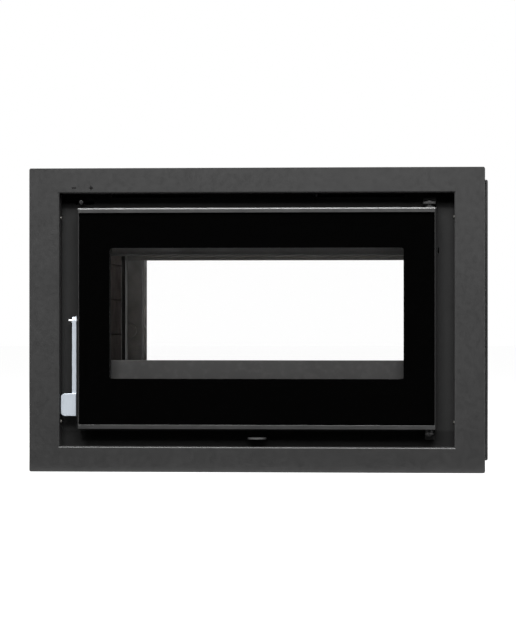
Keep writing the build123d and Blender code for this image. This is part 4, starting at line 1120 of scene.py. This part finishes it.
@dataclass
class SheetWork:
    """Folded and welded sheet metal, softened along its edges."""

    trim_edge: float = 0.4
    sheet_edge: float = 0.5
    bracket_edge: float = 0.8
    collar_edge: float = 0.8

    def build(self) -> None:
        """Build the trim frames, face plates, casing and the firebox's steel."""
        for side in Side:
            trim = softened(f"{side.word}_trim_frame", self.trim_edge, folds=Folds())
            ride_as(trim, Body.STOVE, TRIM_PAINT, f"{side.word}_trim_frame")
            self.sheet(f"{side.word}_face_plate", PLATE_PAINT)
            self.sheet(f"{side.word}_lintel", LINTEL_PAINTED_LIGHT[side])
            self.sheet(f"{side.word}_log_guard", FIREBOX_PAINT)
            self.sheet(f"{side.word}_air_wash_duct", FIREBOX_PAINT)
        for panel in ("left", "right", "top", "bottom"):
            dress(f"casing_{panel}", CASING_SHEET)
        for node in (
            "brick_retainers",
            "corner_air_ducts",
            "upper_baffle",
            "ash_pan",
            "primary_air_box",
        ):
            self.sheet(node, FIREBOX_PAINT)
        for node in ("left_wall", "right_wall", "floor", "roof"):
            dress(f"firebox_{node}", FIREBOX_PAINT)
        dress("latch_pockets", POCKET_PAINT)
        soften("hinge_brackets", Body.STOVE, FRAME_PAINT, self.bracket_edge)
        soften("flue_collar", Body.STOVE, FLUE_PAINT, self.collar_edge)
        self.sheet("outside_air_collar", FLUE_PAINT)

    def sheet(self, node: str, finish: Finish) -> None:
        """Soften one node of thin sheet."""
        soften(node, Body.STOVE, finish, self.sheet_edge)


@dataclass
class SocketScrews:
    """Button-head screws with a six-sided socket, turned about X."""

    head_radius: float = 4.5
    head_height: float = 2.5
    brim: float = 0.5
    edge: float = 0.15
    shank_radius: float = 2.4
    tip: float = 0.6
    socket_half: float = 1.5
    socket_depth: float = 1.3
    socket_tip: float = 0.3
    socket_flare: float = 1.12
    rim_share: float = 1.35
    dome_steps: int = 7
    around: int = 36
    frame_x: float = 390.0
    frame_y: float = 278.0
    frame_z: tuple[float, ...] = (98.0, 502.0)
    frame_length: float = 10.0
    casing_x: float = 420.0
    casing_y: tuple[float, ...] = (-200.0, 0.0, 200.0)
    casing_z: tuple[float, ...] = (27.5, 572.5)
    casing_length: float = 8.0

    def screw(self, length: float) -> np.ndarray:
        """Rings of one screw along its own axis, head first.

        Each ring is a mix of a hexagon and a circle: the socket's rings are hexagons, with the
        radius at an angle equal to the half width over the cosine of the angle from the nearest
        flat, and the rings outside it are circles whose heights follow the head's dome.

        Args:
            length: Length of the shank under the head.

        Returns:
            Array of rings, points and coordinates, the last one along the axis.
        """
        angle = np.linspace(0, 2 * pi, self.around, endpoint=False)
        hexagon = self.socket_half / np.cos((angle + pi / 6) % (pi / 3) - pi / 6)
        top = self.head_height
        floor = top - self.socket_depth
        rim = self.socket_half * self.rim_share
        dome = np.linspace(0, pi / 2, self.dome_steps)
        dome_radius = rim + (self.head_radius - rim) * np.sin(dome)
        dome_height = self.brim + (top - self.brim) * np.cos(dome)
        hexagons = [(0, floor - self.socket_tip), (1, floor), (1, top - self.edge)]
        hexagons += [(self.socket_flare, top)]
        circles = [
            *zip(dome_radius, dome_height),
            (self.head_radius, self.edge),
            (self.head_radius - self.edge, 0),
            (self.shank_radius, 0),
            (self.shank_radius, self.tip - length),
            (self.shank_radius - self.tip, -length),
            (0, -length),
        ]
        socket, outside = np.array(hexagons), np.array(circles)
        socket_rings = socket[:, :1] * hexagon
        outside_rings = np.repeat(outside[:, :1], self.around, axis=1)
        rings = np.concatenate([socket_rings, outside_rings])
        return turned(rings, np.concatenate([socket[:, 1], outside[:, 1]]))

    def placed(self, rings: np.ndarray, place: Point, way: float) -> np.ndarray:
        """Turn a screw's axis to X and move it to its hole.

        Args:
            rings: Rings of the screw.
            place: X, Y and Z of the spot on which the head sits.
            way: Sign of X towards which the head points.

        Returns:
            The moved rings.
        """
        return rings[..., [2, 0, 1]] * (way, 1, 1) + place

    def build(self) -> None:
        """Build the screws of the frames and of the casing."""
        inner = self.screw(self.frame_length)
        grids = [
            self.placed(inner, (way * self.frame_x, side.value * self.frame_y, z), -way)
            for way in (-1.0, 1.0)
            for side in Side
            for z in self.frame_z
        ]
        ride_as(shell("frame_screws.socket", grids), Body.STOVE, DULL_ZINC, "frame_screws")
        outer = self.screw(self.casing_length)
        grids = [
            self.placed(outer, (way * self.casing_x, y, z), way)
            for way in (-1.0, 1.0)
            for y in self.casing_y
            for z in self.casing_z
        ]
        ride_as(shell("casing_screws.socket", grids), Body.STOVE, ZINC_PLATED, "casing_screws")


@dataclass
class Feet:
    """Levelling feet with threaded stems, and their nuts."""

    x: float = 380.0
    y: float = 216.0
    pad_radius: float = 18.0
    pad_height: float = 6.0
    pad_round: float = 1.5
    pad_steps: int = 5
    neck: float = 1.5
    stem_radius: float = 5.0
    stem_top: float = 40.0
    stem_end: tuple[float, ...] = (0.6, 1.4, 5.0)
    end_drop: float = 0.8
    thread_drop: float = 1.0
    pitch: float = 1.5
    thread_depth: float = 0.55
    around: int = 30
    step: float = 0.3
    nut_edge: float = 0.7

    def foot(self) -> np.ndarray:
        """Rings of one foot round the Z axis.

        The pad is a disc with rounded edges. Up the stem the radius falls below its full value by
        a triangle wave of the height over the pitch less the angle over a turn, which is a helix.

        Returns:
            Array of rings, points and coordinates.
        """
        angle = np.linspace(0, 2 * pi, self.around, endpoint=False)
        turn = np.linspace(0, pi / 2, self.pad_steps)
        low_r = self.pad_radius - self.pad_round + self.pad_round * np.sin(turn)
        low_z = self.pad_round - self.pad_round * np.cos(turn)
        neck_r = [self.stem_radius + self.neck, self.stem_radius]
        pad_r = np.concatenate([[0.0], low_r, low_r[::-1], neck_r])
        pad_z = np.concatenate([[0.0], low_z, self.pad_height - low_z[::-1], [self.pad_height] * 2])
        stem_z = np.arange(self.pad_height, self.stem_top - self.thread_drop, self.step)
        wave = (stem_z[:, None] / self.pitch - angle / (2 * pi)) % 1.0
        stem_r = self.stem_radius - self.thread_depth * (1 - np.abs(2 * wave - 1))
        end_r = self.stem_radius - np.array(self.stem_end)
        end_z = [self.stem_top - self.end_drop, self.stem_top, self.stem_top]
        pad_rings, end_rings = (np.repeat(r[:, None], self.around, axis=1) for r in (pad_r, end_r))
        rings = np.concatenate([pad_rings, stem_r, end_rings])
        return turned(rings, np.concatenate([pad_z, stem_z, end_z]))

    def build(self) -> None:
        """Build the feet and soften the nuts."""
        one = self.foot()
        grids = [one + (x * self.x, y * self.y, 0.0) for x in (-1, 1) for y in (-1, 1)]
        feet = shell("levelling_feet.threaded", grids)
        ride_as(feet, Body.STOVE, ZINC_PLATED, "levelling_feet")
        soften("foot_nuts", Body.STOVE, ZINC_PLATED, self.nut_edge)


@dataclass
class Lining:
    """Firebricks with worn edges, hearth slabs, baffle board and grate."""

    brick_x: Span = (318.0, 348.0)
    brick_half_y: float = 115.0
    courses: tuple[float, ...] = (126.0, 198.0, 270.0, 342.0, 414.0, 444.0)
    joint: float = 0.4
    edge: float = 2.4
    cell: float = 3.5
    sag: float = 0.5
    sag_length: float = 26.0
    chip: float = 2.6
    chip_length: float = 17.0
    chip_limit: float = 0.35
    chip_reach: float = 4.5
    board_edge: float = 1.5
    grate_edge: float = 1.0

    def brick(self, sign: int, bottom: float, top: float, seed: int) -> np.ndarray:
        """Rings of one brick.

        Every point of a rounded block sinks along its normal by long shallow waves, and near the
        edges also by chips, where a second set of waves rises above a limit.

        Args:
            sign: -1 for the left wall, 1 for the right.
            bottom: Lower face.
            top: Upper face.
            seed: Seed of the brick's unevenness.

        Returns:
            Array of rings, points and coordinates.
        """
        x = sorted(sign * value for value in self.brick_x)
        lower = np.array([x[0], -self.brick_half_y, bottom + self.joint / 2])
        upper = np.array([x[1], self.brick_half_y, top - self.joint / 2])
        points, outward, to_edge = rounded_block(lower, upper, self.edge, self.cell)
        sink = self.sag * (0.5 + 0.5 * waves(points, self.sag_length, seed)).clip(0, 1)
        bitten = (waves(points, self.chip_length, seed + 100) - self.chip_limit).clip(0, 1)
        sink += self.chip * bitten * np.exp(-((to_edge / self.chip_reach) ** 2))
        return points - outward * sink[..., None]

    def build(self) -> None:
        """Build the side bricks and soften the rest of the lining."""
        for sign, word in ((-1, "left"), (1, "right")):
            grids = [
                self.brick(sign, bottom, top, 10 * row + sign)
                for row, (bottom, top) in enumerate(zip(self.courses, self.courses[1:]), start=1)
            ]
            name = f"{word}_side_bricks"
            ride_as(shell(f"{name}.fireclay", grids), Body.STOVE, FIRECLAY, name)
        soften("hearth_slabs", Body.STOVE, ASHEN_CLAY, self.board_edge)
        soften("lower_baffle", Body.STOVE, BAFFLE_BOARD, self.board_edge)
        soften("grate", Body.STOVE, GRATE_IRON, self.grate_edge)


@dataclass
class Door:
    """One glazed door: surround, glass with its print, seals, frame and hinge bushes.

    The print's rectangles are given by their half width, bottom, top and corner radius.
    """

    side: Side
    surround_edge: float = 0.45
    frame_edge: float = 0.4
    print_outer: tuple[float, ...] = (351.6, 88.4, 517.8, 1.0)
    front_window: tuple[float, ...] = (290.5, 183.9, 442.3, 3.0)
    rear_window: tuple[float, ...] = (285.4, 183.9, 442.3, 3.0)
    print_depth: Span = (6.2, 6.45)
    print_steps: int = 60
    rope_half: Span = (299.0, 161.0)
    rope_middle_z: float = 305.0
    rope_corner: float = 11.0
    rope_width: float = 4.7
    rope_depth: Span = (28.3, 39.5)
    rope_squareness: float = 0.8
    rope_steps: int = 300
    rope_around: int = 28
    rope_smooth: float = 80.0
    strands: int = 8
    braid_pitch: float = 18.0
    braid_relief: float = 0.07

    def printed_border(self) -> bpy.types.Object:
        """Black print on the glass: a thin flat profile carried round the window.

        The profile's corners are a point of the outer rectangle and a point of the window at two
        depths inside the glass, and both rectangles are walked in step.

        Returns:
            The object.
        """
        window = self.front_window if self.side is Side.FRONT else self.rear_window
        steps = self.print_steps
        outer, inner = (
            rectangle_loop(half_x, (top - bottom) / 2, (bottom + top) / 2, radius, steps)[0]
            for half_x, bottom, top, radius in (self.print_outer, window)
        )
        loops = np.stack([outer, inner, inner, outer])
        near, far = (self.side.y(depth) for depth in self.print_depth)
        y = np.array([near, near, far, far])[:, None]
        grid = grid_of(loops[..., 0], y, loops[..., 1])
        return shell(f"{self.side.word}_glass_print", [grid], path_closed=True, smooth=None)

    def rope(self) -> bpy.types.Object:
        """Braided rope: a flattened circle carried round the fire opening.

        The radius rises and falls with the product of two opposite helices, one of which turns
        left and one right along the rope, so that the surface has the diamonds of a braid.

        Returns:
            The object.
        """
        rectangle = (*self.rope_half, self.rope_middle_z, self.rope_corner)
        loop, outward = rectangle_loop(*rectangle, self.rope_steps)
        steps = np.linalg.norm(np.diff(loop, axis=0, append=loop[:1]), axis=1)
        total = steps.sum()
        length = (np.cumsum(steps) - steps)[:, None]
        along = length / total * 2 * pi * round(total / self.braid_pitch)
        angle = np.linspace(0, 2 * pi, self.rope_around, endpoint=False)
        half = self.strands / 2
        braid = np.cos(half * angle + along) * np.cos(half * angle - along)
        swell = 1.0 - self.braid_relief + self.braid_relief * braid
        wide, deep = (
            np.sign(wave) * np.abs(wave) ** self.rope_squareness
            for wave in (np.cos(angle), np.sin(angle))
        )
        middle = sum(self.rope_depth) / 2
        across = self.rope_width * swell * wide
        inward = (self.rope_depth[1] - middle) * swell * deep
        grid = grid_of(
            loop[:, :1] + outward[:, :1] * across,
            self.side.y(middle) - self.side.value * inward,
            loop[:, 1:] + outward[:, 1:] * across,
        )
        name = f"{self.side.word}_rope_seal.braided"
        return shell(name, [grid], path_closed=True, smooth=self.rope_smooth)

    def build(self) -> None:
        """Build the door and dress its CAD nodes."""
        word, body = self.side.word, self.side.door
        soften(f"{word}_door_surround", body, SURROUND_PAINT, self.surround_edge)
        soften(f"{word}_door_frame", body, DOOR_FRAME_PAINTED_LIGHT[self.side], self.frame_edge)
        dress(f"{word}_door_glass", DOOR_GLASS)
        ride_as(self.printed_border(), body, GLASS_PRINT)
        dress(f"{word}_glass_seal", SEAL_TAPE)
        ride_as(self.rope(), body, SEAL_TAPE, f"{word}_rope_seal")
        dress(f"{word}_hinge_bushes", TURNED_STEEL)


@dataclass
class Handle:
    """Lever with its grip, the shaft through the door and the latch hook."""

    side: Side
    lever_edge: float = 0.4
    lever_segments: int = 3
    shaft_edge: float = 0.5
    hook_edge: float = 0.6

    def build(self) -> None:
        """Build the handle of one door."""
        word, body = self.side.word, self.side.handle
        lever = f"{word}_handle_lever"
        soften(lever, body, SATIN_STEEL, self.lever_edge, self.lever_segments)
        soften(f"{word}_latch_shaft", body, SHAFT_STEEL, self.shaft_edge)
        soften(f"{word}_latch_hook", body, BLACK_PAINT, self.hook_edge)


@dataclass
class Controls:
    """Air wash knob and slider, primary air pull, and the hinge pins."""

    knob_edge: float = 0.6
    slider_edge: float = 0.4
    pull_edge: float = 0.6
    segments: int = 3

    def build(self) -> None:
        """Build the controls."""
        soften("air_wash_knob", Body.AIR_WASH, BLACKENED_STEEL, self.knob_edge, self.segments)
        soften("air_wash_slider", Body.AIR_WASH, BLACK_PAINT, self.slider_edge)
        soften("primary_air_slide", Body.PRIMARY_AIR, PULL_PAINT, self.pull_edge, self.segments)
        dress("hinge_pins", TURNED_STEEL)


# ---- Studio ------------------------------------------------------------------------------------


@dataclass
class Softbox:
    """A large soft lamp that is seen in reflections but not by the camera."""

    name: str
    power: float
    size: Span
    place: Point
    aim: Point = (0.0, 0.0, 0.3)

    def hang(self) -> None:
        """Add the lamp at its place, turned towards its aim."""
        lamp = bpy.data.lights.new(self.name, "AREA")
        lamp.energy = self.power
        lamp.shape = "RECTANGLE"
        lamp.size, lamp.size_y = self.size
        item = new_object(self.name, lamp)
        item.location = self.place
        beam = Vector(self.aim) - Vector(self.place)
        item.rotation_euler = beam.to_track_quat("-Z", "Y").to_euler()
        item.visible_camera = False


@dataclass
class Studio:
    """Camera at the photograph's angle, plain light, pale floor and a black card for the glass."""

    lens: float = 178.2
    sensor: float = 36.0
    sight: float = 200.0
    camera_place: Point = (0.5142, -6.5148, 0.300)
    camera_turn: float = 4.69
    low_light: float = 0.02
    high_light: float = 1.0
    light_rise: Span = (0.4, 0.8)
    floor_size: float = 60.0
    floor_level: float = 0.16
    floor_dark: float = 0.99
    floor_clouds: Pattern = Pattern(900.0, 4.0)
    floor_rough: float = 0.9
    floor_glow: float = 0.88
    boxes: list[Softbox] = field(
        default_factory=lambda: [
            Softbox("overhead", 560.0, (3.4, 3.4), (0.0, 0.0, 4.4)),
            Softbox("front_key", 300.0, (3.4, 2.4), (0.1, -4.2, 3.6)),
            Softbox("rear_key", 260.0, (3.4, 2.4), (0.1, 4.2, 3.6)),
        ]
    )
    card_x: Span = (-6.0, 5.0)
    card_y: Span = (-0.32, -7.2)
    card_z: Span = (0.002, 4.6)

    def sky(self) -> None:
        """White world for what is seen; the light that it gives grows from the horizon upwards."""
        nodes = Nodes(bpy.data.worlds.new("studio"))
        way = nodes.add("SeparateXYZ", {0: nodes.add("TexCoord").outputs["Generated"]})
        levels = (self.low_light, self.high_light, self.light_rise)
        rise = nodes.between(way.outputs["Z"], *levels, interpolation_type="SMOOTHSTEP")
        lit = nodes.add("Background", {"Color": WHITE, "Strength": rise})
        seen = nodes.add("Background", {"Color": WHITE, "Strength": 1.0})
        mixed = nodes.either(nodes.seen_by(*SEEING_RAYS), lit, seen)
        nodes.add("OutputWorld", {"Surface": mixed})
        bpy.context.scene.world = nodes.owner

    def sheet(
        self, name: str, points: list[Point], faces: list[tuple[int, ...]], recipe: Recipe
    ) -> bpy.types.Object:
        """Flat stage piece.

        Args:
            name: Name of the object.
            points: Corners in metres.
            faces: Faces.
            recipe: Its material.

        Returns:
            The object.
        """
        mesh = bpy.data.meshes.new(name)
        mesh.from_pydata(points, [], faces)
        mesh.materials.append(recipe.owner)
        item = new_object(name, mesh)
        return item

    def floor(self) -> None:
        """Pale floor that shows white to the camera and keeps the insert's shadow."""
        recipe = Recipe("pale_floor")
        dark, pale = (grey(self.floor_level * share) for share in (self.floor_dark, 1.0))
        clouds = recipe.noise(self.floor_clouds)
        recipe.feed("Base Color", recipe.shades(clouds, dark, pale))
        recipe.feed("Roughness", self.floor_rough)
        recipe.feed("Specular IOR Level", 0.0)
        strength = recipe.math("MULTIPLY", recipe.seen_by(*SEEING_RAYS), self.floor_glow)
        glow = recipe.add("Emission", {"Strength": strength})
        both = recipe.add("AddShader", {0: recipe.shader.outputs[0], 1: glow.outputs[0]})
        recipe.show(both.outputs[0])
        half = self.floor_size / 2
        corners = [(-half, -half, 0.0), (half, -half, 0.0), (half, half, 0.0), (-half, half, 0.0)]
        self.sheet("floor", corners, [(0, 1, 2, 3)], recipe)

    def card(self) -> None:
        """Black card before the insert, bent up at its far edge, that only reflections see."""
        recipe = Recipe("black_card")
        recipe.feed("Base Color", grey(0.0))
        recipe.feed("Roughness", 1.0)
        recipe.feed("Specular IOR Level", 0.0)
        clear = recipe.add("BsdfTransparent")
        recipe.show(recipe.either(recipe.seen_by("Is Glossy Ray"), clear, recipe.shader))
        left, right = self.card_x
        near, far = self.card_y
        low, high = self.card_z
        points = [(left, near, low), (right, near, low), (right, far, low), (left, far, low)]
        points += [(left, far, high), (right, far, high)]
        item = self.sheet("black_card", points, [(0, 1, 2, 3), (3, 2, 5, 4)], recipe)
        for ray in ("camera", "diffuse", "transmission", "shadow", "volume_scatter"):
            setattr(item, f"visible_{ray}", False)

    def camera(self) -> None:
        """Camera at the photograph's place, turn and angle of view."""
        data = bpy.data.cameras.new("photograph")
        data.lens = self.lens
        data.sensor_width = self.sensor
        data.clip_end = self.sight
        item = new_object("photograph", data)
        item.location = self.camera_place
        item.rotation_euler = (pi / 2, 0.0, radians(self.camera_turn))
        bpy.context.scene.camera = item

    def build(self) -> None:
        """Set the whole studio up."""
        self.camera()
        self.sky()
        self.floor()
        self.card()
        for box in self.boxes:
            box.hang()
        bpy.context.scene.view_settings.view_transform = "Standard"


def main() -> None:
    """Build the studio and every sub-assembly."""
    logging.basicConfig(level=logging.INFO, format="%(message)s")
    Studio().build()
    SheetWork().build()
    SocketScrews().build()
    Feet().build()
    Lining().build()
    for side in Side:
        Door(side).build()
        Handle(side).build()
    Controls().build()


if __name__ == "__main__":
    main()
